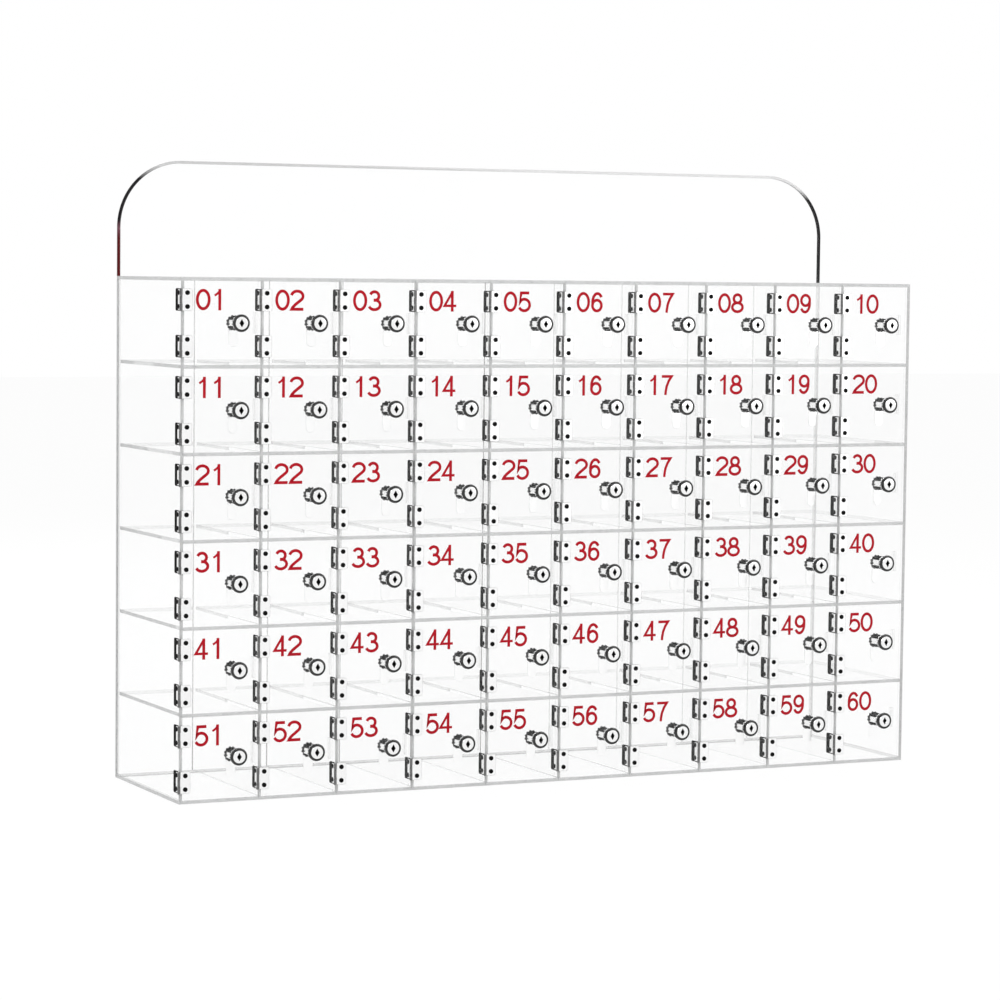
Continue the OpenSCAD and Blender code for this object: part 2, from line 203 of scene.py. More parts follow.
class Finish:
    def __init__(self, name, **plain):
        self.material = bpy.data.materials.new(name)
        self.material.use_nodes = True
        self.tree = self.material.node_tree
        self.shader = self.tree.nodes["Principled BSDF"]
        for label, value in plain.items():
            self.shader.inputs[label.replace("_", " ")].default_value = value
        self.place = put(self.tree, "ShaderNodeTexCoord").outputs["Object"]

    def group(self, kind, **inputs):
        node = put(self.tree, "ShaderNodeGroup", node_tree=groups[kind])
        self.tree.links.new(inputs.pop("vector", self.place), node.inputs["Vector"])
        for label, value in inputs.items():
            node.inputs[label.replace("_", " ")].default_value = value
        return node.outputs

    def feed(self, label, value):
        self.tree.links.new(value, self.shader.inputs[label])

    def ramp(self, value, low, high, start, end):
        return put(self.tree, "ShaderNodeMapRange", {0: value, 1: low, 2: high, 3: start, 4: end}).outputs[0]

    def colours(self, value, *stops):
        node = put(self.tree, "ShaderNodeValToRGB", {0: value})
        elements = node.color_ramp.elements
        while len(elements) < len(stops):
            elements.new(0.5)
        for element, (position, colour) in zip(elements, stops):
            element.position = position
            element.color = (*colour, 1.0)
        return node.outputs["Color"]

    def blend(self, factor, a, b):
        node = put(self.tree, "ShaderNodeMix", {0: factor}, data_type="RGBA")
        for index, value in ((6, a), (7, b)):
            if isinstance(value, bpy.types.NodeSocket):
                self.tree.links.new(value, node.inputs[index])
            else:
                node.inputs[index].default_value = (*value, 1.0)
        return node.outputs[2]

    def bump(self, height, strength, distance):
        node = put(self.tree, "ShaderNodeBump", {"Height": height, "Strength": strength, "Distance": distance})
        self.feed("Normal", node.outputs[0])


def grey(level):
    return (level, level, level)


# Faces of the clear sheets: nearly nothing but gloss, thin haze and a few hairlines
clearSheet = {"colour": (0.95, 0.965, 0.965), "solid": 0.018, "glancing": 0.05, "haze": 0.008, "specks": 0.10}


def clearFace():
    finish = Finish("clearAcrylicFace", Roughness=0.04, IOR=1.49)
    haze = finish.group("haze")
    scratch = finish.group("scratches", Amount=0.05)
    finish.shader.inputs["Base Color"].default_value = (*clearSheet["colour"], 1.0)
    tree = finish.tree
    glance = put(tree, "ShaderNodeLayerWeight", {"Blend": 0.3}).outputs["Facing"]
    solid = calc(tree, "MULTIPLY_ADD", glance, clearSheet["glancing"], clearSheet["solid"])
    solid = calc(tree, "MULTIPLY_ADD", haze["Cloud"], clearSheet["haze"], solid)
    solid = calc(tree, "MULTIPLY_ADD", haze["Specks"], clearSheet["specks"], solid)
    finish.feed("Alpha", solid)
    finish.feed("Roughness", finish.ramp(scratch["Mask"], 0.0, 1.0, 0.04, 0.3))
    finish.bump(scratch["Mask"], 0.15, 0.02 * mm)
    return finish.material


# Cut edges: grey and satin, with fine lines across the sheet's thickness. Across is the sheet's thin axis.
edgeLook = {
    "cut": {"dark": (0.41, 0.415, 0.415), "light": (0.56, 0.565, 0.565), "solid": 0.88},
    "rear": {"dark": (0.42, 0.425, 0.425), "light": (0.55, 0.555, 0.555), "solid": 0.34},
    "joint": {"dark": (0.38, 0.385, 0.385), "light": (0.50, 0.505, 0.505), "solid": 0.5},
    "slot": {"dark": (0.50, 0.505, 0.505), "light": (0.62, 0.625, 0.625), "solid": 0.14},
    "corner": {"dark": (0.12, 0.12, 0.12), "light": (0.20, 0.20, 0.20), "solid": 0.72},
    # painted shade: the right side's front edge takes this darker grey, as if turned from the light
    "end": {"dark": (0.32, 0.325, 0.325), "light": (0.45, 0.455, 0.455), "solid": 0.9},
    "hinged": {"dark": (0.42, 0.425, 0.425), "light": (0.56, 0.565, 0.565), "solid": 0.7},
    "door": {"dark": (0.50, 0.505, 0.505), "light": (0.64, 0.645, 0.645), "solid": 0.07},
    "drilled": {"dark": (0.55, 0.555, 0.555), "light": (0.70, 0.705, 0.705), "solid": 0.2},
}
edgeLine = {"along": 1500.0, "across": 60.0}


def edgeFinish(kind, across):
    look = edgeLook[kind]
    finish = Finish(f"{kind}AcrylicEdge{'XYZ'[across]}", Roughness=0.3, IOR=1.49)
    scale = [edgeLine["along"]] * 3
    scale[across] = edgeLine["across"]
    grain = finish.group("grain", Scale=scale, Contrast=1.6)
    cloud = finish.group("haze", Cloud_Scale=35.0)["Cloud"]
    finish.feed("Base Color", finish.colours(grain["Tone"], (0.2, look["dark"]), (0.8, look["light"])))
    finish.feed("Roughness", finish.ramp(grain["Tone"], 0.0, 1.0, 0.18, 0.42))
    finish.feed("Alpha", finish.ramp(cloud, 0.0, 1.0, look["solid"], look["solid"] * 0.86))
    finish.bump(grain["Height"], 0.5, 0.05 * mm)
    return finish.material


# Rim of the header board: a painted reflection in its colour, dark maroon and black at the sides and pale along the
# top, standing for what a polished edge would mirror
rimPaintedReflection = {
    "maroon": (0.085, 0.004, 0.005),
    "black": (0.006, 0.005, 0.006),
    "pale": (0.56, 0.56, 0.56),
    "paler": (0.72, 0.72, 0.72),
    "plum": (0.15, 0.06, 0.08),
}


def headerRim():
    finish = Finish("headerRimPaintedReflection", IOR=1.49, Specular_IOR_Level=0.1)
    tree = finish.tree
    parts = put(tree, "ShaderNodeSeparateXYZ", {0: finish.place}).outputs
    up = finish.ramp(parts["Z"], cabinetTop, headerTop, 0.0, 1.0)
    leftSide = finish.colours(
        up, (0.0, rimPaintedReflection["maroon"]), (0.33, rimPaintedReflection["maroon"]), (0.41, rimPaintedReflection["plum"]),
        (0.48, rimPaintedReflection["black"]), (0.84, rimPaintedReflection["black"]), (0.955, rimPaintedReflection["pale"]),
    )
    rightSide = finish.colours(
        up, (0.0, grey(0.03)), (0.12, rimPaintedReflection["black"]), (0.78, rimPaintedReflection["black"]), (0.88, rimPaintedReflection["paler"]),
    )
    side = finish.ramp(parts["X"], -0.05, 0.05, 0.0, 1.0)
    grain = finish.group("grain", Scale=(160.0, 30.0, 160.0), Contrast=0.5)["Tone"]
    mixed = finish.blend(side, leftSide, rightSide)
    top = finish.colours(
        finish.ramp(parts["X"], left, right, 0.0, 1.0),
        (0.0, grey(0.52)), (0.2, grey(0.57)), (0.45, grey(0.72)), (1.0, grey(0.73)),
    )
    finish.feed("Base Color", finish.blend(finish.ramp(up, 0.975, 0.995, 0.0, 1.0), mixed, top))
    finish.feed("Roughness", finish.ramp(grain, 0.0, 1.0, 0.2, 0.34))
    finish.shader.inputs["Alpha"].default_value = 0.96
    finish.bump(grain, 0.2, 0.05 * mm)
    return finish.material


# Metals. Along is the axis of the brushing.
def brushedMetal(name, colour, rough, contrast=0.5, scale=(220.0, 220.0, 9000.0), depth=0.02, low=0.86):
    finish = Finish(name, Metallic=1.0)
    grain = finish.group("grain", Scale=scale, Contrast=contrast)
    cloud = finish.group("haze", Cloud_Scale=60.0)["Cloud"]
    shade = tuple(level * low for level in colour)
    finish.feed("Base Color", finish.blend(grain["Tone"], shade, colour))
    finish.feed("Roughness", finish.ramp(cloud, 0.0, 1.0, rough * 0.8, rough * 1.25))
    finish.bump(grain["Height"], 0.35, depth * mm)
    return finish.material


def darkMetal(name, colour, rough, metallic=1.0, gloss=0.5):
    finish = Finish(name, Metallic=metallic, Specular_IOR_Level=gloss)
    grain = finish.group("grain", Scale=(900.0, 900.0, 900.0), Contrast=1.2)
    cloud = finish.group("haze", Cloud_Scale=140.0)["Cloud"]
    worn = tuple(level * 1.9 + 0.01 for level in colour)
    finish.feed("Base Color", finish.blend(finish.ramp(grain["Tone"], 0.45, 0.9, 0.0, 1.0), colour, worn))
    finish.feed("Roughness", finish.ramp(cloud, 0.0, 1.0, rough * 0.8, rough * 1.3))
    finish.bump(grain["Height"], 0.3, 0.03 * mm)
    return finish.material


# Turned faces carry rings about their own axis, read from the piece's own map
def turnedMetal(name, colour, rough):
    finish = Finish(name, Metallic=1.0)
    around = put(finish.tree, "ShaderNodeUVMap", uv_map="turned").outputs[0]
    grain = finish.group("grain", vector=around, Scale=(3.0, 90.0, 1.0), Contrast=0.8)
    cloud = finish.group("haze", Cloud_Scale=200.0)["Cloud"]
    shade = tuple(level * 0.8 for level in colour)
    finish.feed("Base Color", finish.blend(grain["Tone"], shade, colour))
    finish.feed("Roughness", finish.ramp(cloud, 0.0, 1.0, rough * 0.7, rough * 1.3))
    finish.bump(grain["Height"], 0.25, 0.03 * mm)
    return finish.material


vinylRed = (0.42, 0.003, 0.013)


def redVinyl():
    finish = Finish("redNumberVinyl", Specular_IOR_Level=0.12)
    grain = finish.group("grain", Scale=(700.0, 700.0, 700.0), Contrast=0.8)
    cloud = finish.group("haze", Cloud_Scale=45.0)["Cloud"]
    deep = tuple(level * 0.86 for level in vinylRed)
    finish.feed("Base Color", finish.blend(finish.ramp(cloud, 0.0, 1.0, 0.2, 1.0), deep, vinylRed))
    finish.feed("Roughness", finish.ramp(grain["Tone"], 0.0, 1.0, 0.34, 0.52))
    finish.bump(grain["Height"], 0.12, 0.03 * mm)
    return finish.material


materials = {
    "clear": clearFace(),
    "rim": headerRim(),
    "leafFace": brushedMetal("nickelLeafFace", grey(0.99), 0.24, 0.3),
    # painted shade and dark reflection: a near-black rim and rear band on the wall leaves, a mid-grey rim on the door
    # leaves
    "leafShadeRim": darkMetal("leafRimPaintedShade", grey(0.002), 0.42, 0.0, 0.01),
    "leafPale": darkMetal("nickelLeafPaleRim", grey(0.40), 0.3),
    # painted dark reflection: the knuckle's nickel is made dark grey
    "knuckle": darkMetal("knucklePaintedDarkReflection", grey(0.15), 0.3),
    "pin": brushedMetal("steelHingePin", grey(0.55), 0.3, scale=(600.0, 600.0, 600.0)),
    "screw": darkMetal("blackenedScrew", grey(0.0015), 0.5, 0.0, 0.08),
    # painted dark reflection: the lock ring's chrome is made near-black
    "ring": turnedMetal("lockRingPaintedDarkReflection", grey(0.06), 0.2),
    "plugFace": turnedMetal("brightPlugFace", grey(1.0), 0.16),
    "plugBody": brushedMetal("zincPlugBody", grey(0.78), 0.3, scale=(600.0, 600.0, 600.0)),
    # painted shade: the keyhole's walls and floor are near-black
    "keyhole": darkMetal("keyholePaintedShade", grey(0.002), 0.6, 0.0, 0.1),
    # painted shade on the barrel's threads, near-black, and a painted highlight on its flats, pure white
    "thread": darkMetal("barrelThreadPaintedShade", grey(0.002), 0.4, 0.0, 0.05),
    "flat": brushedMetal("barrelFlatPaintedHighlight", grey(1.0), 0.2, 0.3, scale=(300.0, 4000.0, 4000.0)),
    "nut": brushedMetal("toothedNutZinc", grey(0.62), 0.2, scale=(900.0, 900.0, 900.0)),
    # painted shade: the stop washer's zinc is made near-black
    "stop": darkMetal("stopWasherPaintedShade", grey(0.05), 0.34),
    "cam": brushedMetal("zincCam", grey(1.0), 0.16, 0.25, scale=(5000.0, 300.0, 300.0), depth=0.008, low=0.96),
    "vinyl": redVinyl(),
}
for kind in edgeLook:
    for across in range(3):
        materials[f"{kind}{'XYZ'[across]}"] = edgeFinish(kind, across)
print("finishes:", len(bpy.data.materials))


# Turns a bmesh or mesh into a finished piece that rides on its body
def finishPiece(mesh, name, body, replaced, smoothAngle=None):
    if isinstance(mesh, bmesh.types.BMesh):
        data = bpy.data.meshes.new(name)
        mesh.to_mesh(data)
        mesh.free()
        mesh = data
    mesh.name = name
    if smoothAngle:
        mesh.shade_smooth()
        mesh.set_sharp_from_angle(angle=math.radians(smoothAngle))
    piece = bpy.data.objects.new(name, mesh)
    scene.collection.objects.link(piece)
    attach(piece, body)
    if replaced:
        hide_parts(*replaced)
    return piece


def addMaterials(mesh, names):
    for name in names:
        mesh.materials.append(materials[name])


# Clear sheets: the frame's own shapes with eased edges and their cut edges finished apart
sheetLook = {"ease": 0.22 * mm, "onPlane": 0.05 * mm, "glueLine": 1.5 * mm}


# A cut face: 0 glued and clear, 1 outside, 2 at the rear, 3 where a wall meets a sheet, 4 in a slot,
# 5 the line of glue behind a divider, 6 the front of the right side, painted a darker grey as shade
def edgeKind(node, middle, normal, low, high, across, near):
    if node == "dividers" and high.y - middle.y < near:
        return 5 if (middle.x - left) % columnPitch < sheetLook["glueLine"] else 0
    if middle.y - frontY < near or middle.x - left < near:
        return 6 if node == "right_side_panel" else 1
    if across == 2 and middle.x - low.x < near:
        return 1
    if high.y - middle.y < near or high.x - middle.x < near:
        return 2
    if across == 0 and abs(normal.z) > 0.9:
        return 3 if normal.z < 0 else 0
    if across == 2:
        return 2 if normal.x < -0.9 else 0
    return 4


# A door's edge: 1 beside its hinges, 2 on its other sides, 3 in a hole
def doorEdgeKind(middle, low, high, near):
    if middle.x - low.x < near:
        return 1
    row = min(range(1, rows + 1), key=lambda r: abs(middleZ(r) - middle.z))
    halfHeight = (doorHigh.z - doorLow.z) / 2
    outer = high.x - middle.x < near or abs(abs(middle.z - middleZ(row)) - halfHeight) < near
    return 2 if outer else 3


def sheetPiece(node, name, body, across, doors=False):
    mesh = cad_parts[node].data
    bm = bmesh.new()
    bm.from_mesh(mesh)
    bmesh.ops.remove_doubles(bm, verts=bm.verts, dist=1e-6)
    bmesh.ops.dissolve_limit(bm, angle_limit=0.01, verts=bm.verts, edges=bm.edges)
    sharp = [edge for edge in bm.edges if edge.is_manifold and edge.calc_face_angle() > 1.0]
    bmesh.ops.bevel(
        bm, geom=sharp, offset=sheetLook["ease"], offset_type="OFFSET", segments=1, profile=0.5,
        affect="EDGES", clamp_overlap=True,
    )
    low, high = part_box(node)
    near = sheetLook["onPlane"] + sheetLook["ease"]
    if node == "dividers":
        for wall in range(1, columns):
            rear = [face for face in bm.faces if face.normal.y > 0.99 and high.y - face.verts[0].co.y < near]
            parts = set(rear) | {edge for face in rear for edge in face.edges} | {v for face in rear for v in face.verts}
            cut = (wallX(wall) + sheetLook["glueLine"], 0, 0)
            bmesh.ops.bisect_plane(bm, geom=list(parts), plane_co=cut, plane_no=(1, 0, 0))
    for face in bm.faces:
        middle = face.calc_center_median()
        if abs(face.normal[across]) > 0.99:
            face.material_index = 0
        elif doors:
            face.material_index = doorEdgeKind(middle, low, high, near)
        else:
            face.material_index = edgeKind(node, middle, face.normal, low, high, across, near)
    piece = finishPiece(bm, name, body, [node], 30)
    kinds = ("hinged", "door", "drilled") if doors else ("cut", "rear", "joint", "slot", "corner", "end")
    addMaterials(piece.data, ["clear"] + [kind + "XYZ"[across] for kind in kinds])
    return piece


# Back panel: one sheet whose upper part is the header board, with a bull-nosed rim
header = {"corner": 79 * mm, "nose": 1.45 * mm, "noseSteps": 9, "arcSteps": 40, "band": 1.85 * mm}


def headerOutline(inset):
    radius = header["corner"] - inset
    centreX, centreZ = right - header["corner"], headerTop - header["corner"]
    points = [(left + inset, inset), (left + inset, cabinetTop)]
    for step in range(header["arcSteps"] + 1):
        angle = math.pi - step * math.pi / 2 / header["arcSteps"]
        points.append((-centreX + radius * math.cos(angle), centreZ + radius * math.sin(angle)))
    for step in range(header["arcSteps"] + 1):
        angle = math.pi / 2 - step * math.pi / 2 / header["arcSteps"]
        points.append((centreX + radius * math.cos(angle), centreZ + radius * math.sin(angle)))
    return points + [(right - inset, cabinetTop), (right - inset, inset)]


def backPanel():
    bm = bmesh.new()
    middle = backY - sheet / 2
    flat = sheet / 2 - header["nose"]
    loops = []
    for step in range(header["noseSteps"] + 1):
        angle = math.pi * (step / header["noseSteps"] - 0.5)
        inset = header["nose"] * (1 - math.cos(angle))
        y = middle + header["nose"] * math.sin(angle) + math.copysign(flat, math.sin(angle)) * (step != 0)
        if step == 0:
            y = middle - sheet / 2
        loops.append([bm.verts.new((x, y, z)) for x, z in headerOutline(inset)])
    inset = header["nose"] + header["band"]
    for index, y in ((0, middle - sheet / 2), (len(loops), middle + sheet / 2)):
        loops.insert(index, [bm.verts.new((x, y, z)) for x, z in headerOutline(inset)])
    count = len(loops[0])
    for ring, (near, far) in enumerate(zip(loops, loops[1:])):
        for i in range(count):
            j = (i + 1) % count
            face = bm.faces.new((near[i], near[j], far[j], far[i]))
            isHeader = min(near[i].co.z, near[j].co.z) >= cabinetTop - 1e-6
            isBand = ring in (0, len(loops) - 2)
            face.material_index = 1 if isHeader else 0 if isBand else 2 if i == 0 else 3
    for loop, flip in ((loops[0], True), (loops[-1], False)):
        bm.faces.new(loop if flip else loop[::-1])
    bmesh.ops.recalc_face_normals(bm, faces=bm.faces)
    piece = finishPiece(bm, "back_panel_sheet", "cabinet", ["back_panel"], 40)
    addMaterials(piece.data, ["clear", "rim", "cutY", "rearY"])


def cabinetSheets():
    backPanel()
    for node, across in (
        ("top_panel", 2), ("bottom_panel", 2), ("left_side_panel", 0), ("right_side_panel", 0),
        ("shelves", 2), ("dividers", 0),
    ):
        sheetPiece(node, f"{node}_sheet", "cabinet", across)


def doorSheets():
    for body in doorBodies:
        node = f"{body}_panel" if body.startswith("door") else body.replace("_doors", "_door_panels")
        sheetPiece(node, f"{body}_sheet", body, 1, doors=True)


# Hinges, built about their own axis: X to the right, Y to the back, Z up
hinge = {
    "height": 25.0,
    "wallReach": 20.0,
    "doorReach": 14.0,
    "leaf": 0.9,
    "corner": 2.2,
    "cornerSteps": 4,
    "knuckle": 3.2,
    "relief": 0.1,
    "run": 0.4,
    "gap": 0.25,
    "middle": 9.0,
    "pin": 1.6,
    "pinHead": 2.6,
    "pinHeadHeight": 0.5,
    "offset": 26.0,
    "wallScrew": 10.8,
    "doorScrew": 8.0,
    "screwSpacing": 15.5,
    # borderDrop, the borders and wallTail size the leaf bands that carry painted shade and dark reflection
    "borderDrop": 0.18,
    "wallBorder": 1.2,
    "wallTail": 8.2,
    "doorBorder": 0.35,
}
axisOffset = hinge["knuckle"] / 2 + hinge["relief"]
hingeY = doorFront - axisOffset * mm


def leafOutline(inset, tail, notchLow, notchHigh, wall):
    half = hinge["height"] / 2 - inset
    end = hinge["wallReach" if wall else "doorReach"] - tail
    corner = max(hinge["corner"] - inset, 0.3)
    start = hinge["knuckle"] / 2 + hinge["run"] + inset
    root = 0.3 if wall else start
    points = [(root, -half)]
    for side in (-1, 1):
        for step in range(hinge["cornerSteps"] + 1):
            turn = step / hinge["cornerSteps"] * math.pi / 2
            angle = turn - math.pi / 2 if side < 0 else turn
            points.append((end - corner + corner * math.cos(angle), side * (half - corner) + corner * math.sin(angle)))
    points.append((root, half))
    points += [(root, notchHigh), (0.3 + start - root, notchHigh), (0.3 + start - root, notchLow), (root, notchLow)]
    return points


# One leaf. It lies flat along u, thickness t, and faces the side where its screws go in.
# Its outer bands take slot 1: painted shade, and on the wall leaves a wide rear band of painted dark reflection.
def addLeaf(bm, place, wall):
    half = hinge["middle"] / 2 + (hinge["gap"] if wall else 0)
    border = hinge["wallBorder"] if wall else hinge["doorBorder"]
    tail = hinge["wallTail"] if wall else hinge["doorBorder"]
    loops = []
    for inset, cut, level in (
        (0.0, 0.0, 0.0), (0.0, 0.0, hinge["leaf"] - hinge["borderDrop"]), (0.12, 0.12, hinge["leaf"]),
        (border, tail, hinge["leaf"]),
    ):
        outline = leafOutline(inset, cut, -half, half, wall)
        loops.append([bm.verts.new(place @ Vector((u * mm, level * mm, v * mm))) for u, v in outline])
    count = len(loops[0])
    for ring, (near, far) in enumerate(zip(loops, loops[1:])):
        for i in range(count):
            j = (i + 1) % count
            face = bm.faces.new((near[i], near[j], far[j], far[i]))
            face.material_index = 1
    bm.faces.new(loops[0][::-1]).material_index = 1
    bm.faces.new(loops[-1]).material_index = 0


def addTube(bm, place, profile, steps, material):
    loops = []
    for radius, level in profile:
        loops.append([
            bm.verts.new(place @ Vector((
                radius * mm * math.cos(2 * math.pi * i / steps), radius * mm * math.sin(2 * math.pi * i / steps),
                level * mm,
            )))
            for i in range(steps)
        ])
    for near, far in zip(loops, loops[1:]):
        for i in range(steps):
            j = (i + 1) % steps
            bm.faces.new((near[i], near[j], far[j], far[i])).material_index = material
    return loops


# The knuckle's slot 2 finish is painted dark grey as dark reflection.
def addKnuckle(bm, place, low, high):
    outer, bore, ease = hinge["knuckle"] / 2, hinge["pin"] / 2 + 0.05, 0.22
    profile = [
        (bore, low), (outer - ease, low), (outer, low + ease), (outer, high - ease), (outer - ease, high),
        (bore, high), (bore, low),
    ]
    steps = 14
    loops = addTube(bm, place, profile[:-1], steps, 2)
    for i in range(steps):
        j = (i + 1) % steps
        bm.faces.new((loops[-1][i], loops[-1][j], loops[0][j], loops[0][i])).material_index = 2


def addPin(bm, place):
    top = hinge["height"] / 2 + 0.02
    for side in (1, -1):
        turned = place @ Matrix.Scale(side, 4, (0, 0, 1))
        head, rise = hinge["pinHead"] / 2, hinge["pinHeadHeight"]
        profile = [(hinge["pin"] / 2, 0.0), (hinge["pin"] / 2, top), (head, top), (head, top + rise * 0.5),
                   (head * 0.6, top + rise * 0.92), (0.05, top + rise)]
        loops = addTube(bm, turned, profile, 10, 0)
        bm.faces.new(loops[-1]).material_index = 0


wallLeafTurn = Matrix(((0, -1, 0, axisOffset * mm), (1, 0, 0, 0), (0, 0, 1, 0), (0, 0, 0, 1)))
doorLeafTurn = Matrix(((1, 0, 0, 0), (0, -1, 0, axisOffset * mm), (0, 0, 1, 0), (0, 0, 0, 1)))


def hingePlaces(row, column):
    x = wallX(column - 1) - axisOffset * mm
    return [
        Matrix.Translation((x, hingeY, middleZ(row) + side * hinge["offset"] * mm)) for side in (-1, 1)
    ]


def wallHinges():
    leaves, pins = bmesh.new(), bmesh.new()
    half = hinge["height"] / 2
    for row in range(1, rows + 1):
        for column in range(1, columns + 1):
            for place in hingePlaces(row, column):
                addLeaf(leaves, place @ wallLeafTurn, True)
                edge = hinge["middle"] / 2 + hinge["gap"]
                addKnuckle(leaves, place, edge, half)
                addKnuckle(leaves, place, -half, -edge)
                addPin(pins, place)
    for bm in (leaves, pins):
        bmesh.ops.recalc_face_normals(bm, faces=bm.faces)
    piece = finishPiece(leaves, "wall_hinge_leaves", "cabinet", ["fixed_hinge_leaves"], 35)
    addMaterials(piece.data, ["leafFace", "leafShadeRim", "knuckle"])
    piece = finishPiece(pins, "hinge_pins", "cabinet", ["fixed_hinge_leaves"], 35)
    addMaterials(piece.data, ["pin"])


def doorHinges():
    for body, doors in doorBodies.items():
        bm = bmesh.new()
        for row, column in doors:
            for place in hingePlaces(row, column):
                addLeaf(bm, place @ doorLeafTurn, False)
                addKnuckle(bm, place, -hinge["middle"] / 2, hinge["middle"] / 2)
        bmesh.ops.recalc_face_normals(bm, faces=bm.faces)
        node = f"{body.replace('_doors', '')}_hinge_leaves"
        piece = finishPiece(bm, f"{body}_hinge_leaves", body, [node], 35)
        addMaterials(piece.data, ["leafFace", "leafPale", "knuckle"])


# Screws, nuts and barrels are set out by geometry trees, one copy at each point
length = "NodeSocketFloat"


def bodyTree(name, inputs):
    tree, given, result = newGroup(
        name, "GeometryNodeTree",
        [("Geometry", "NodeSocketGeometry", None)] + inputs + [("Finish", "NodeSocketMaterial", None)],
        [("Geometry", "NodeSocketGeometry")],
    )
    return tree, given, result


def setOut(tree, given, result, shape):
    outward = put(tree, "GeometryNodeInputNamedAttribute", {"Name": "outward"}, data_type="FLOAT_VECTOR")
    turn = put(tree, "GeometryNodeInputNamedAttribute", {"Name": "turn"}, data_type="FLOAT")
    facing = put(tree, "FunctionNodeAlignRotationToVector", {"Vector": outward.outputs["Attribute"]}, axis="Z")
    spin = put(tree, "FunctionNodeAxisAngleToRotation", {"Axis": (0.0, 0.0, 1.0), "Angle": turn.outputs["Attribute"]})
    turned = put(
        tree, "FunctionNodeRotateRotation",
        {"Rotation": facing.outputs[0], "Rotate By": spin.outputs[0]}, rotation_space="LOCAL",
    )
    copies = put(
        tree, "GeometryNodeInstanceOnPoints",
        {"Points": given["Geometry"], "Instance": shape, "Rotation": turned.outputs[0]},
    )
    real = put(tree, "GeometryNodeRealizeInstances", {"Geometry": copies.outputs[0]})
    finished = put(tree, "GeometryNodeSetMaterial", {"Geometry": real.outputs[0], "Material": given["Finish"]})
    tree.links.new(finished.outputs[0], result["Geometry"])


# Black pan-head screw with a cross recess. Its head sits on the point, and outward leaves the work.
screw = {"headDiameter": 5.4, "headHeight": 1.1, "shank": 2.5, "recess": 0.75, "recessLength": 2.9, "recessDepth": 0.6}


def screwTree():
    tree, given, result = bodyTree("crossHeadScrew", [
        ("Head Diameter", length, 1.0), ("Head Height", length, 1.0), ("Shank Diameter", length, 1.0),
        ("Grip", length, 1.0), ("Recess Width", length, 1.0), ("Recess Length", length, 1.0),
        ("Recess Depth", length, 1.0),
    ])
    radius = calc(tree, "MULTIPLY", given["Head Diameter"], 0.5)
    head = put(tree, "GeometryNodeMeshCylinder", {
        "Vertices": 14, "Side Segments": 1, "Fill Segments": 2, "Radius": radius, "Depth": given["Head Height"],
    })
    where = put(tree, "GeometryNodeInputPosition").outputs[0]
    parts = put(tree, "ShaderNodeSeparateXYZ", {0: where}).outputs
    squared = calc(tree, "ADD", calc(tree, "POWER", parts[0], 2.0), calc(tree, "POWER", parts[1], 2.0))
    share = calc(tree, "DIVIDE", squared, calc(tree, "POWER", radius, 2.0))
    upper = calc(tree, "GREATER_THAN", parts[2], 0.0)
    drop = calc(tree, "MULTIPLY", calc(tree, "MULTIPLY", share, upper), calc(tree, "MULTIPLY", given["Head Height"], -0.5))
    raised = calc(tree, "ADD", drop, calc(tree, "MULTIPLY", given["Head Height"], 0.5))
    shift = put(tree, "ShaderNodeCombineXYZ", {2: raised}).outputs[0]
    domed = put(tree, "GeometryNodeSetPosition", {"Geometry": head.outputs["Mesh"], "Offset": shift})
    bars = []
    for size in ((given["Recess Length"], given["Recess Width"]), (given["Recess Width"], given["Recess Length"])):
        depth = calc(tree, "MULTIPLY", given["Recess Depth"], 2.0)
        box = put(tree, "ShaderNodeCombineXYZ", {0: size[0], 1: size[1], 2: depth}).outputs[0]
        bars.append(put(tree, "GeometryNodeMeshCube", {"Size": box}))
    cut = domed.outputs[0]
    for bar in bars:
        lift = put(tree, "ShaderNodeCombineXYZ", {2: given["Head Height"]}).outputs[0]
        placed = put(tree, "GeometryNodeTransform", {"Geometry": bar.outputs["Mesh"], "Translation": lift})
        difference = put(tree, "GeometryNodeMeshBoolean", operation="DIFFERENCE", solver="EXACT")
        tree.links.new(cut, difference.inputs[0])
        tree.links.new(placed.outputs[0], difference.inputs[1])
        cut = difference.outputs[0]
    shank = put(tree, "GeometryNodeMeshCylinder", {
        "Vertices": 8, "Radius": calc(tree, "MULTIPLY", given["Shank Diameter"], 0.5), "Depth": given["Grip"],
    })
    sunk = put(tree, "ShaderNodeCombineXYZ", {2: calc(tree, "MULTIPLY", given["Grip"], -0.5)}).outputs[0]
    placed = put(tree, "GeometryNodeTransform", {"Geometry": shank.outputs["Mesh"], "Translation": sunk})
    whole = put(tree, "GeometryNodeJoinGeometry")
    tree.links.new(cut, whole.inputs[0])
    tree.links.new(placed.outputs[0], whole.inputs[0])
    setOut(tree, given, result, whole.outputs[0])
    return tree


# Toothed nut or washer about +Z, from 0 up to its thickness
nut = {"diameter": 18.6, "thickness": 2.0, "teeth": 14, "groove": 0.7, "bore": 16.2}
stopWasher = {"diameter": 17.6, "thickness": 1.5, "teeth": 12, "groove": 1.0, "bore": 7.1}


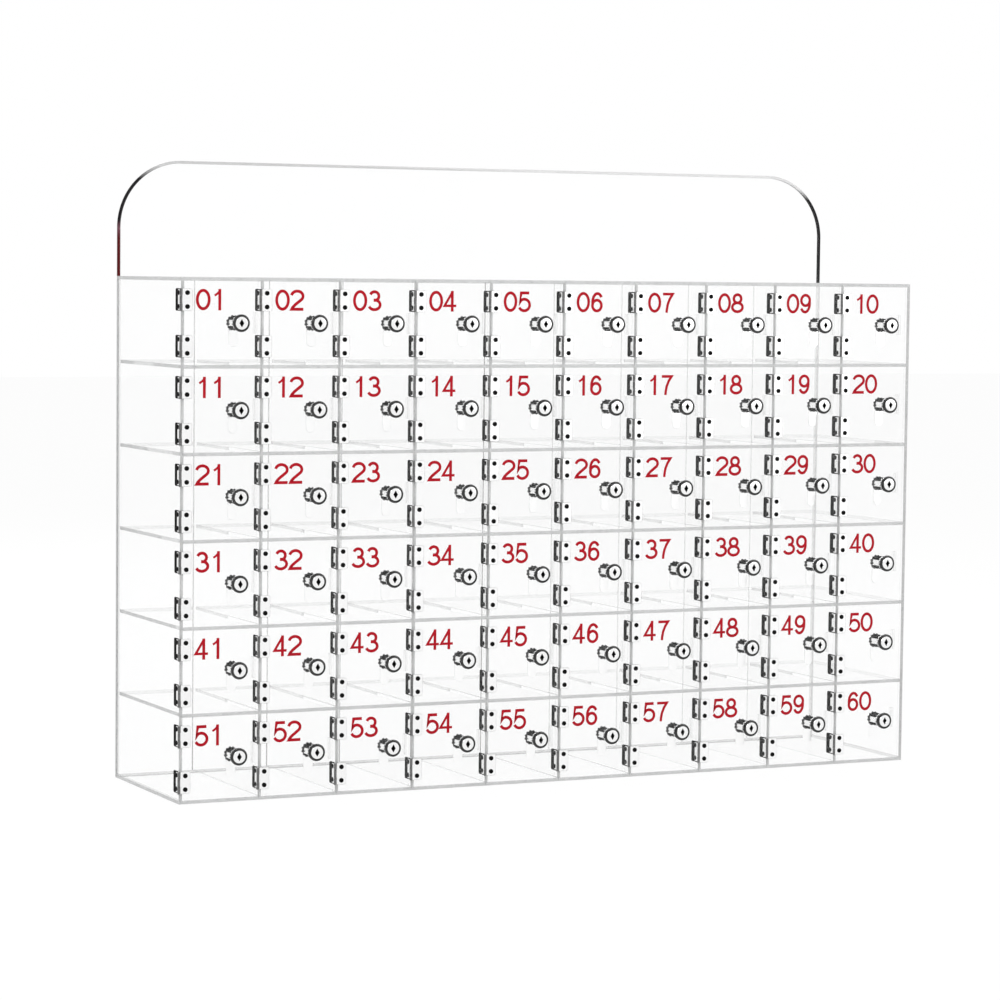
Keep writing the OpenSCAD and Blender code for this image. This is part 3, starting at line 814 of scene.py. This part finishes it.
def toothedTree():
    tree, given, result = bodyTree("toothedRing", [
        ("Diameter", length, 1.0), ("Thickness", length, 1.0), ("Teeth", "NodeSocketInt", 14),
        ("Groove", length, 1.0), ("Bore", length, 1.0),
    ])
    around = calc(tree, "MULTIPLY", given["Teeth"], 4.0)
    outer = put(tree, "GeometryNodeCurvePrimitiveCircle", {
        "Resolution": around, "Radius": calc(tree, "MULTIPLY", given["Diameter"], 0.5),
    })
    index = put(tree, "GeometryNodeInputIndex").outputs[0]
    inGroove = calc(tree, "LESS_THAN", calc(tree, "MODULO", index, 4.0), 1.5)
    where = put(tree, "GeometryNodeInputPosition").outputs[0]
    outwards = put(tree, "ShaderNodeVectorMath", {0: where}, operation="NORMALIZE").outputs[0]
    pull = calc(tree, "MULTIPLY", inGroove, calc(tree, "MULTIPLY", given["Groove"], -1.0))
    shift = put(tree, "ShaderNodeVectorMath", {0: outwards, "Scale": pull}, operation="SCALE").outputs[0]
    toothed = put(tree, "GeometryNodeSetPosition", {"Geometry": outer.outputs[0], "Offset": shift})
    inner = put(tree, "GeometryNodeCurvePrimitiveCircle", {
        "Resolution": 28, "Radius": calc(tree, "MULTIPLY", given["Bore"], 0.5),
    })
    both = put(tree, "GeometryNodeJoinGeometry")
    tree.links.new(toothed.outputs[0], both.inputs[0])
    tree.links.new(inner.outputs[0], both.inputs[0])
    face = put(tree, "GeometryNodeFillCurve", {"Curve": both.outputs[0]})
    lift = put(tree, "GeometryNodeExtrudeMesh", {
        "Mesh": face.outputs[0], "Offset": (0.0, 0.0, 1.0), "Offset Scale": given["Thickness"], "Individual": False,
    })
    under = put(tree, "GeometryNodeFlipFaces", {"Mesh": face.outputs[0]})
    whole = put(tree, "GeometryNodeJoinGeometry")
    tree.links.new(lift.outputs["Mesh"], whole.inputs[0])
    tree.links.new(under.outputs[0], whole.inputs[0])
    closed = put(tree, "GeometryNodeMergeByDistance", {"Geometry": whole.outputs[0], "Distance": 1e-6})
    setOut(tree, given, result, closed.outputs[0])
    return tree


# Threaded barrel about +Z, hollow, with two flats that face +X and -X. A grid is rolled up into it.
# Its threads take a finish painted near-black as shade, and its flats one painted pure white as highlight.
barrel = {
    "diameter": 16.0, "bore": 11.1, "flats": 13.5, "length": 20.0, "pitch": 1.5, "depth": 0.42, "around": 28,
    "perTurn": 4,
}


def barrelTree():
    tree, given, result = bodyTree("threadedBarrel", [
        ("Diameter", length, 1.0), ("Bore", length, 1.0), ("Flats", length, 1.0), ("Length", length, 1.0),
        ("Pitch", length, 1.0), ("Depth", length, 1.0), ("Around", "NodeSocketInt", 28),
        ("Rings", "NodeSocketInt", 50), ("Flat Finish", "NodeSocketMaterial", None),
    ])
    lines = calc(tree, "ADD", given["Rings"], 3.0)
    sheetGrid = put(tree, "GeometryNodeMeshGrid", {
        "Size X": given["Around"], "Size Y": lines,
        "Vertices X": calc(tree, "ADD", given["Around"], 1.0), "Vertices Y": calc(tree, "ADD", lines, 1.0),
    })
    where = put(tree, "GeometryNodeInputPosition").outputs[0]
    parts = put(tree, "ShaderNodeSeparateXYZ", {0: where}).outputs
    turn = calc(tree, "ADD", calc(tree, "DIVIDE", parts[0], given["Around"]), 0.5)
    angle = calc(tree, "MULTIPLY", turn, 2 * math.pi)
    line = calc(tree, "ROUND", calc(tree, "MULTIPLY_ADD", lines, 0.5, parts[1]))
    share = calc(tree, "DIVIDE", calc(tree, "SUBTRACT", line, 1.0), given["Rings"])
    share = calc(tree, "MINIMUM", calc(tree, "MAXIMUM", share, 0.0), 1.0)
    stillOut = calc(tree, "LESS_THAN", line, calc(tree, "ADD", given["Rings"], 2.5))
    up = calc(tree, "MULTIPLY", calc(tree, "MULTIPLY", share, stillOut), given["Length"])
    outside = calc(tree, "MULTIPLY", calc(tree, "GREATER_THAN", line, 0.5),
                   calc(tree, "LESS_THAN", line, calc(tree, "ADD", given["Rings"], 1.5)))
    wave = calc(tree, "PINGPONG", calc(tree, "ADD", calc(tree, "DIVIDE", up, given["Pitch"]), turn), 0.5)
    outer = calc(tree, "MULTIPLY", given["Diameter"], 0.5)
    outer = calc(tree, "SUBTRACT", outer, calc(tree, "MULTIPLY", calc(tree, "MULTIPLY", wave, 2.0), given["Depth"]))
    inner = calc(tree, "MULTIPLY", given["Bore"], 0.5)
    radius = calc(tree, "MULTIPLY_ADD", outside, calc(tree, "SUBTRACT", outer, inner), inner)
    half = calc(tree, "MULTIPLY", given["Flats"], 0.5)
    x = calc(tree, "MULTIPLY", radius, calc(tree, "COSINE", angle))
    x = calc(tree, "MAXIMUM", calc(tree, "MINIMUM", x, half), calc(tree, "MULTIPLY", half, -1.0))
    y = calc(tree, "MULTIPLY", radius, calc(tree, "SINE", angle))
    placed = put(tree, "ShaderNodeCombineXYZ", {0: x, 1: y, 2: up}).outputs[0]
    shaped = put(tree, "GeometryNodeSetPosition", {"Geometry": sheetGrid.outputs["Mesh"], "Position": placed})
    closed = put(tree, "GeometryNodeMergeByDistance", {"Geometry": shaped.outputs[0], "Distance": 1e-6})
    normal = put(tree, "ShaderNodeSeparateXYZ", {0: put(tree, "GeometryNodeInputNormal").outputs[0]}).outputs
    onFlat = calc(tree, "GREATER_THAN", calc(tree, "ABSOLUTE", normal[0]), 0.985)
    marked = put(tree, "GeometryNodeStoreNamedAttribute", {
        "Geometry": closed.outputs[0], "Name": "onFlat", "Value": onFlat,
    }, data_type="FLOAT", domain="FACE")
    setOut(tree, given, result, marked.outputs[0])
    last = result["Geometry"].links[0].from_socket
    seen = put(tree, "GeometryNodeInputNamedAttribute", {"Name": "onFlat"}, data_type="FLOAT")
    chosen = calc(tree, "GREATER_THAN", seen.outputs["Attribute"], 0.5)
    bright = put(tree, "GeometryNodeSetMaterial", {
        "Geometry": last, "Selection": chosen, "Material": given["Flat Finish"],
    })
    tree.links.new(bright.outputs[0], result["Geometry"])
    return tree


def pointMesh(name, spots):
    mesh = bpy.data.meshes.new(name)
    mesh.from_pydata([place for place, outward, turn in spots], [], [])
    mesh.attributes.new("outward", "FLOAT_VECTOR", "POINT").data.foreach_set(
        "vector", [value for place, outward, turn in spots for value in outward]
    )
    mesh.attributes.new("turn", "FLOAT", "POINT").data.foreach_set("value", [turn for _, _, turn in spots])
    return mesh


# Runs a tree on points and returns the result as a plain mesh
def grown(name, tree, spots, values):
    source = bpy.data.objects.new(name, pointMesh(name, spots))
    scene.collection.objects.link(source)
    modifier = source.modifiers.new(name, "NODES")
    modifier.node_group = tree
    for item in tree.interface.items_tree:
        if item.in_out == "INPUT" and item.name in values:
            modifier[item.identifier] = values[item.name]
    evaluated = source.evaluated_get(bpy.context.evaluated_depsgraph_get())
    mesh = bpy.data.meshes.new_from_object(evaluated)
    bpy.data.objects.remove(source)
    return mesh


def turnOf(row, column, extra):
    return (row * 2.399 + column * 1.618 + extra * 0.77) % math.pi


def screwSpots(row, column, onWall):
    spots = []
    for side in (-1, 1):
        for end in (-1, 1):
            z = middleZ(row) + (side * hinge["offset"] + end * hinge["screwSpacing"] / 2) * mm
            seat = (hinge["leaf"] + 0.02) * mm
            turn = turnOf(row, column, side + 2 * end)
            if onWall:
                spots.append(((wallX(column - 1) - seat, hingeY + hinge["wallScrew"] * mm, z), (-1, 0, 0), turn))
            else:
                x = wallX(column - 1) + (hinge["doorScrew"] - axisOffset) * mm
                spots.append(((x, doorFront - seat, z), (0, -1, 0), turn))
    return spots


def screws():
    tree = screwTree()
    values = {
        "Head Diameter": screw["headDiameter"] * mm, "Head Height": screw["headHeight"] * mm,
        "Shank Diameter": screw["shank"] * mm, "Grip": doorSheet + (hinge["leaf"] - 0.4) * mm,
        "Recess Width": screw["recess"] * mm, "Recess Length": screw["recessLength"] * mm,
        "Recess Depth": screw["recessDepth"] * mm, "Finish": materials["screw"],
    }
    spots = [
        spot for row in range(1, rows + 1) for column in range(1, columns + 1)
        for spot in screwSpots(row, column, True)
    ]
    mesh = grown("wall_hinge_screws", tree, spots, values)
    finishPiece(mesh, "wall_hinge_screws", "cabinet", ["fixed_leaf_screws"], 40)
    for body, doors in doorBodies.items():
        spots = [spot for row, column in doors for spot in screwSpots(row, column, False)]
        mesh = grown(f"{body}_hinge_screws", tree, spots, values)
        finishPiece(mesh, f"{body}_hinge_screws", body, None, 40)


# Cam locks, built along +Z from the front of the ring into the locker
lock = {
    "inset": 24.5,
    "ring": 20.0,
    "ringThickness": 2.5,
    "ringEase": 0.9,
    "plugFace": 15.0,
    "plugFaceThickness": 1.4,
    "plug": 11.0,
    "keyWidth": 5.6,
    "keyHeight": 9.2,
    "keyDepth": 5.0,
    "stopFront": 25.65,
    "camFront": 27.17,
    "camThickness": 2.0,
    "camReach": 27.0,
    "camWidth": 11.0,
    "camHub": 15.0,
    "washer": 11.0,
    "washerFront": 29.19,
    "washerThickness": 0.8,
    "boltFront": 30.01,
    "boltFlats": 7.0,
    "boltHead": 2.8,
}
ringFront = doorFront - lock["ringThickness"] * mm


def lockPlace(row, column):
    x = wallX(column) - lock["inset"] * mm
    return Matrix.Translation((x, ringFront, middleZ(row))) @ Matrix.Rotation(-math.pi / 2, 4, "X")


def addTurned(bm, place, profile, steps, material, closed=True):
    loops = addTube(bm, place, profile, steps, material)
    layer = bm.loops.layers.uv["turned"]
    ends = [loops[0][::-1], loops[-1]] if closed else []
    faces = [bm.faces.new(end) for end in ends]
    for face in faces:
        face.material_index = material
    inverse = place.inverted()
    for loop in loops:
        for vert in loop:
            for corner in vert.link_loops:
                local = inverse @ vert.co
                middle = inverse @ corner.face.calc_center_median()
                angle = math.atan2(middle.y, middle.x)
                spin = math.atan2(local.y, local.x)
                spin += 2 * math.pi * round((angle - spin) / (2 * math.pi))
                corner[layer].uv = (spin / (2 * math.pi), (local.xy.length + local.z) / mm / 10)
    return loops


def addPrism(bm, place, outline, low, high, material, ease=0.0):
    centre = Vector((sum(x for x, y in outline) / len(outline), sum(y for x, y in outline) / len(outline)))
    loops = []
    levels = [(low, ease), (low + ease, 0.0), (high - ease, 0.0), (high, ease)] if ease else [(low, 0), (high, 0)]
    for level, inset in levels:
        loop = []
        for point in outline:
            away = Vector(point) - centre
            pulled = centre + away * max(1 - inset / max(away.length, 0.01), 0.0)
            loop.append(bm.verts.new(place @ Vector((pulled.x * mm, pulled.y * mm, level * mm))))
        loops.append(loop)
    count = len(outline)
    for near, far in zip(loops, loops[1:]):
        for i in range(count):
            j = (i + 1) % count
            bm.faces.new((near[i], near[j], far[j], far[i])).material_index = material
    bm.faces.new(loops[0][::-1]).material_index = material
    bm.faces.new(loops[-1]).material_index = material
    return loops


# Ring that shows on the door, with a seat for the plug's face
# Its slot 0 finish is painted near-black as dark reflection.
def addRing(bm, place):
    outer, ease, rear = lock["ring"] / 2, lock["ringEase"], lock["ringThickness"]
    inner, bore = lock["plugFace"] / 2 + 0.06, lock["plug"] / 2 + 0.05
    seat = lock["plugFaceThickness"] + 0.05
    profile = [
        (bore, seat), (inner, seat), (inner, 0.12), (inner + 0.15, 0.0), (inner + 0.9, -0.0), (outer - ease, 0.12),
        (outer - ease * 0.35, 0.42), (outer, ease + 0.15), (outer, rear - 0.15), (outer - 0.15, rear), (bore, rear),
    ]
    loops = addTurned(bm, place, profile, 40, 0, closed=False)
    for i in range(40):
        j = (i + 1) % 40
        bm.faces.new((loops[-1][i], loops[-1][j], loops[0][j], loops[0][i])).material_index = 0


# Plug in one closed piece: body, face and a diamond keyhole sunk in the face
# The keyhole's walls and floor take slot 2, painted near-black as shade.
def addPlug(bm, place):
    steps = 32
    outer, radius = lock["plugFace"] / 2, lock["plug"] / 2
    back, rear = lock["plugFaceThickness"], lock["stopFront"] - 0.02
    profile = [
        (radius - 0.4, rear), (radius, rear - 0.4), (radius, back), (outer, back), (outer, 0.35),
        (outer - 0.35, 0.02), (outer - 0.7, -0.02),
    ]
    rings = addTurned(bm, place, profile, steps, 1, closed=False)
    for ring in rings[:2]:
        for vert in ring:
            for face in vert.link_faces:
                face.material_index = 3
    bm.faces.new(rings[0]).material_index = 3
    side = []
    for i in range(steps):
        angle = 2 * math.pi * i / steps
        dx, dy = math.cos(angle), math.sin(angle)
        reach = 1 / (abs(dx) / (lock["keyWidth"] / 2) + abs(dy) / (lock["keyHeight"] / 2))
        side.append((dx * reach, dy * reach))
    last = rings[-1]
    for grow, level, material in ((0.08, -0.02, 1), (0.0, 0.06, 1), (0.0, lock["keyDepth"], 2)):
        loop = []
        for x, y in side:
            push = 1 + grow / math.hypot(x, y)
            loop.append(bm.verts.new(place @ Vector((x * push * mm, y * push * mm, level * mm))))
        for i in range(steps):
            j = (i + 1) % steps
            bm.faces.new((last[i], last[j], loop[j], loop[i])).material_index = material
        last = loop
    bm.faces.new(last).material_index = 2


def camOutline():
    hub, half, tip = lock["camHub"] / 2, lock["camWidth"] / 2, lock["camReach"] - lock["camWidth"] / 2
    start = math.asin(half / hub)
    points = []
    for step in range(17):
        angle = math.pi / 2 - start - step / 16 * (2 * math.pi - 2 * start)
        points.append((hub * math.cos(angle), hub * math.sin(angle)))
    for step in range(13):
        angle = math.pi - step / 12 * math.pi
        points.append((half * math.cos(angle), tip + half * math.sin(angle)))
    return points


def hexagon(flats):
    radius = flats / math.sqrt(3)
    return [(radius * math.cos(math.pi / 3 * i), radius * math.sin(math.pi / 3 * i)) for i in range(6)]


# Everything that turns with the key
def addPlugAssembly(bm, place):
    addPlug(bm, place)
    addPrism(bm, place, camOutline(), lock["camFront"], lock["camFront"] + lock["camThickness"], 4, 0.25)
    front, thick = lock["washerFront"], lock["washerThickness"]
    washer = lock["washer"] / 2
    addTurned(bm, place, [
        (washer - 0.2, front), (washer, front + 0.2), (washer, front + thick - 0.2), (washer - 0.2, front + thick),
    ], 24, 3)
    bolt = lock["boltFront"]
    addPrism(bm, place, hexagon(lock["boltFlats"]), bolt, bolt + lock["boltHead"], 3, 0.35)
    return bm


lockFinishes = ["ring", "plugFace", "keyhole", "plugBody", "cam"]


def startLocks():
    bm = bmesh.new()
    bm.loops.layers.uv.new("turned")
    return bm


def locks():
    toothedShape, barrelShape = toothedTree(), barrelTree()
    nutValues, stopValues = (
        {
            "Diameter": ring["diameter"] * mm, "Thickness": ring["thickness"] * mm, "Teeth": ring["teeth"],
            "Groove": ring["groove"] * mm, "Bore": ring["bore"] * mm, "Finish": materials[finish],
        }
        for ring, finish in ((nut, "nut"), (stopWasher, "stop"))
    )
    barrelLength = barrel["length"] + doorSheet / mm
    barrelValues = {
        "Diameter": barrel["diameter"] * mm, "Bore": barrel["bore"] * mm, "Flats": barrel["flats"] * mm,
        "Length": barrelLength * mm,
        "Pitch": barrel["pitch"] * mm, "Depth": barrel["depth"] * mm, "Around": barrel["around"],
        "Rings": round(barrelLength / barrel["pitch"] * barrel["perTurn"]), "Finish": materials["thread"],
        "Flat Finish": materials["flat"],
    }
    for body, doors in doorBodies.items():
        stem = body.replace("_doors", "")
        alone = body.startswith("door")
        rings, plugs = startLocks(), startLocks()
        for row, column in doors:
            addRing(rings, lockPlace(row, column))
            addPlugAssembly(plugs if alone else rings, lockPlace(row, column))
        bmesh.ops.recalc_face_normals(rings, faces=rings.faces)
        node = f"{stem}_lock_body" if alone else f"{stem}_cam_locks"
        piece = finishPiece(rings, f"{stem}_locks" if not alone else f"{stem}_lock_ring", body, [node], 35)
        addMaterials(piece.data, lockFinishes)
        if alone:
            bmesh.ops.recalc_face_normals(plugs, faces=plugs.faces)
            piece = finishPiece(
                plugs, f"{stem}_lock_plug_cam", f"{body}_plug", [f"{stem}_lock_plug"], 35
            )
            addMaterials(piece.data, lockFinishes)
        else:
            plugs.free()
        spots = {}
        for name, level in (("nut", doorSheet / mm), ("barrel", 0.0), ("stop", lock["stopFront"] - lock["ringThickness"])):
            spots[name] = [
                ((wallX(column) - lock["inset"] * mm, doorFront + level * mm, middleZ(row)), (0, 1, 0), 0.0)
                for row, column in doors
            ]
        plugNode, plugBody = (f"{stem}_lock_plug", f"{body}_plug") if alone else (node, body)
        mesh = grown(f"{stem}_stop_washer", toothedShape, spots["stop"], stopValues)
        finishPiece(mesh, f"{stem}_stop_washer", plugBody, [plugNode], 35)
        mesh = grown(f"{stem}_lock_nut", toothedShape, spots["nut"], nutValues)
        finishPiece(mesh, f"{stem}_lock_nut", body, [node], 35)
        mesh = grown(f"{stem}_lock_barrel", barrelShape, spots["barrel"], barrelValues)
        finishPiece(mesh, f"{stem}_lock_barrel", body, [node], 50)


# Door numbers, cut from thin vinyl. A digit is drawn by the middle line of its strokes, 0 to 1 high.
digits = {
    "height": 23.9, "stroke": 3.45, "wide": 0.345, "advance": 17.8, "fromWall": 14.3, "belowTop": 10.9, "film": 0.12,
    "lighter": {(1, 0): 0.74, (4, 0): 0.84, (7, 0): 0.94},
}


def arc(x, y, wide, high, start, end, steps=14):
    return [
        (x + wide * math.cos(math.radians(start + (end - start) * i / steps)),
         y + high * math.sin(math.radians(start + (end - start) * i / steps)))
        for i in range(steps + 1)
    ]


def digitStrokes(digit):
    wide = digits["wide"]
    flat = digits["stroke"] / 2 / (digits["height"] - digits["stroke"])
    if digit == 0:
        return [arc(0, 0.5, wide, 0.5, 90, 450, 36)]
    if digit == 1:
        return [[(-0.21, 0.73), (-0.1, 0.79), (0.005, 0.875), (0.085, 0.99)], [(0.09, 1 + flat), (0.09, -flat)]]
    if digit == 2:
        bowl = arc(0, 0.72, wide, 0.28, 170, -38, 16)
        return [bowl + [(-0.13, 0.24), (-0.27, 0.1), (-0.325, 0.0), (0.37, 0.0)]]
    if digit == 3:
        upper = arc(0, 0.755, 0.265, 0.245, 160, -88, 14)
        lower = arc(0, 0.27, wide, 0.27, 88, -160, 16)
        return [upper[:-1] + [(-0.05, 0.52)], [(-0.05, 0.54)] + lower[1:]]
    if digit == 4:
        return [[(0.38, 0.24), (-0.345, 0.24), (0.125, 1.0)], [(0.13, 1 + flat), (0.13, -flat)]]
    if digit == 5:
        bowl = arc(0.0, 0.315, wide, 0.33, 125, -155, 18)
        return [[(0.31, 1.0), (-0.195, 1.0), (-0.27, 0.46)] + bowl]
    if digit == 6:
        ring = arc(0.01, 0.31, 0.29, 0.31, 170, 530, 28)
        return [ring, arc(0.04, 0.5, 0.315, 0.5, 35, 200, 16)]
    if digit == 7:
        return [[(-0.325, 1.0), (0.315, 1.0), (0.13, 0.73), (0.0, 0.42), (-0.06, 0.12), (-0.075, -flat)]]
    if digit == 8:
        return [arc(0, 0.76, 0.25, 0.24, 90, 450, 26), arc(0, 0.26, wide, 0.26, 90, 450, 28)]
    ring = arc(-0.01, 0.69, 0.29, 0.31, -10, 350, 28)
    return [ring, arc(-0.04, 0.5, 0.315, 0.5, 215, 380, 16)]


def strokeSolid(bm, points, half, low, high):
    points = [Vector(point) for point in points]
    closed = (points[0] - points[-1]).length < 1e-4
    if closed:
        points.pop()
    count = len(points)
    sides = []
    for i, point in enumerate(points):
        before = points[i - 1] if closed or i else None
        after = points[(i + 1) % count] if closed or i < count - 1 else None
        ways = [way.normalized() for way in (
            point - before if before is not None else None, after - point if after is not None else None
        ) if way is not None]
        way = sum(ways, Vector((0, 0))).normalized()
        across = Vector((-way.y, way.x))
        reach = half / max(across.dot(Vector((-ways[0].y, ways[0].x))), 0.35)
        sides.append((point + across * reach, point - across * reach))
    verts = [[bm.verts.new((side.x, side.y, level)) for level in (low, high)] for pair in sides for side in pair]
    last = count if closed else count - 1
    for i in range(last):
        a, b = verts[2 * i], verts[2 * i + 1]
        c, d = verts[2 * ((i + 1) % count)], verts[2 * ((i + 1) % count) + 1]
        for quad in ((a[1], b[1], d[1], c[1]), (b[0], a[0], c[0], d[0]), (a[0], a[1], c[1], c[0]), (b[1], b[0], d[0], d[1])):
            bm.faces.new(quad)
    if not closed:
        for a, b in ((verts[0], verts[1]), (verts[-1], verts[-2])):
            bm.faces.new((a[0], b[0], b[1], a[1]))
    bmesh.ops.recalc_face_normals(bm, faces=bm.faces)


# One digit as a flat solid, lying in XY, its strokes joined into one
def digitMesh(digit):
    tall = digits["height"] - digits["stroke"]
    parts = []
    for i, stroke in enumerate(digitStrokes(digit)):
        bm = bmesh.new()
        points = [(x * tall * mm, (y * tall + digits["stroke"] / 2) * mm) for x, y in stroke]
        weight = digits["lighter"].get((digit, i), 1.0)
        strokeSolid(bm, points, weight * digits["stroke"] / 2 * mm, 0.0, digits["film"] * mm)
        mesh = bpy.data.meshes.new(f"digit{digit}{i}")
        bm.to_mesh(mesh)
        bm.free()
        part = bpy.data.objects.new(mesh.name, mesh)
        scene.collection.objects.link(part)
        parts.append(part)
    for part in parts[1:]:
        union = parts[0].modifiers.new("union", "BOOLEAN")
        union.operation = "UNION"
        union.solver = "EXACT"
        union.object = part
    evaluated = parts[0].evaluated_get(bpy.context.evaluated_depsgraph_get())
    mesh = bpy.data.meshes.new_from_object(evaluated)
    for part in parts:
        bpy.data.objects.remove(part)
    return mesh


def doorNumbers():
    shapes = [digitMesh(digit) for digit in range(10)]
    for body, doors in doorBodies.items():
        bm = bmesh.new()
        for row, column in doors:
            top = middleZ(row) + rowPitch / 2 - digits["belowTop"] * mm
            start = wallX(column - 1) + sheet / 2 + digits["fromWall"] * mm
            for place, digit in enumerate(divmod(doorNumber(row, column), 10)):
                known = set(bm.verts)
                bm.from_mesh(shapes[digit])
                x = start + (digits["advance"] * (place + 0.5)) * mm
                z = top - digits["height"] * mm
                matrix = Matrix.Translation((x, doorFront - 0.005 * mm, z)) @ Matrix.Rotation(math.pi / 2, 4, "X")
                bmesh.ops.transform(bm, matrix=matrix, verts=[vert for vert in bm.verts if vert not in known])
        piece = finishPiece(bm, f"{body}_number", body, None)
        addMaterials(piece.data, ["vinyl"])


# Studio: a white floor that keeps the shadow, white surroundings and soft lamps
studio = {
    "sky": 0.62,
    "floorWhite": 0.94,
    "floorSeen": 0.90,
    "lamps": (
        ("key", (-2.2, -2.6, 2.6), 2.2, 62.0),
        ("fill", (2.6, -2.8, 1.6), 2.6, 34.0),
        ("rear", (0.4, 2.6, 2.4), 2.0, 26.0),
    ),
    "bandDark": 0.05,
}


def studioSky():
    world = bpy.data.worlds.new("studio")
    scene.world = world
    world.use_nodes = True
    tree = world.node_tree
    tree.nodes.clear()
    path = put(tree, "ShaderNodeLightPath").outputs
    light = put(tree, "ShaderNodeBackground", {"Color": (1, 1, 1, 1), "Strength": studio["sky"]})
    seen = put(tree, "ShaderNodeBackground", {"Color": (1, 1, 1, 1), "Strength": 1.0})
    # Two dark flags stand left and right of the set, and only metal mirrors them
    way = put(tree, "ShaderNodeSeparateXYZ", {0: put(tree, "ShaderNodeTexCoord").outputs["Generated"]}).outputs
    flag = put(tree, "ShaderNodeMapRange", {
        0: calc(tree, "ABSOLUTE", way["Y"]), 1: 0.34, 2: 0.58, 3: studio["bandDark"], 4: 1.0,
    }).outputs[0]
    mirrored = put(tree, "ShaderNodeBackground", {"Color": (1, 1, 1, 1), "Strength": flag})
    first = put(tree, "ShaderNodeMixShader", {0: path["Is Glossy Ray"], 1: light.outputs[0], 2: mirrored.outputs[0]})
    straight = calc(tree, "MAXIMUM", path["Is Camera Ray"], path["Is Transmission Ray"])
    last = put(tree, "ShaderNodeMixShader", {0: straight, 1: first.outputs[0], 2: seen.outputs[0]})
    put(tree, "ShaderNodeOutputWorld", {"Surface": last.outputs[0]})


def studioFloor():
    mesh = bpy.data.meshes.new("studio_floor")
    half = 14.0
    mesh.from_pydata([(-half, -half, 0), (half, -half, 0), (half, half, 0), (-half, half, 0)], [], [(0, 1, 2, 3)])
    floor = bpy.data.objects.new("studio_floor", mesh)
    floor.location.z = -0.05 * mm
    scene.collection.objects.link(floor)
    material = bpy.data.materials.new("studioWhite")
    material.use_nodes = True
    tree = material.node_tree
    tree.nodes.clear()
    matt = put(tree, "ShaderNodeBsdfDiffuse", {"Color": (*grey(studio["floorWhite"]), 1.0)})
    white = put(tree, "ShaderNodeEmission", {"Color": (1, 1, 1, 1), "Strength": 1.02})
    path = put(tree, "ShaderNodeLightPath").outputs
    straight = calc(tree, "MAXIMUM", path["Is Camera Ray"], path["Is Glossy Ray"])
    seen = calc(tree, "MULTIPLY", straight, studio["floorSeen"])
    mixed = put(tree, "ShaderNodeMixShader", {0: seen, 1: matt.outputs[0], 2: white.outputs[0]})
    put(tree, "ShaderNodeOutputMaterial", {"Surface": mixed.outputs[0]})
    mesh.materials.append(material)


def studioLamps():
    for name, place, size, power in studio["lamps"]:
        data = bpy.data.lights.new(name, "AREA")
        data.size = size
        data.energy = power
        lamp = bpy.data.objects.new(name, data)
        lamp.location = place
        lamp.rotation_euler = (Vector((0, 0, 0.3)) - Vector(place)).to_track_quat("-Z", "Y").to_euler()
        lamp.visible_camera = False
        scene.collection.objects.link(lamp)


addCamera()
studioSky()
studioFloor()
studioLamps()
scene.view_settings.view_transform = "Standard"
scene.cycles.transparent_max_bounces = 64  # a look through the whole cabinet passes some forty clear faces
print("studio ready")
cabinetSheets()
doorSheets()
print("clear sheets done")
wallHinges()
doorHinges()
screws()
print("hinges and screws done")
locks()
print("locks done")
doorNumbers()
print("numbers done")
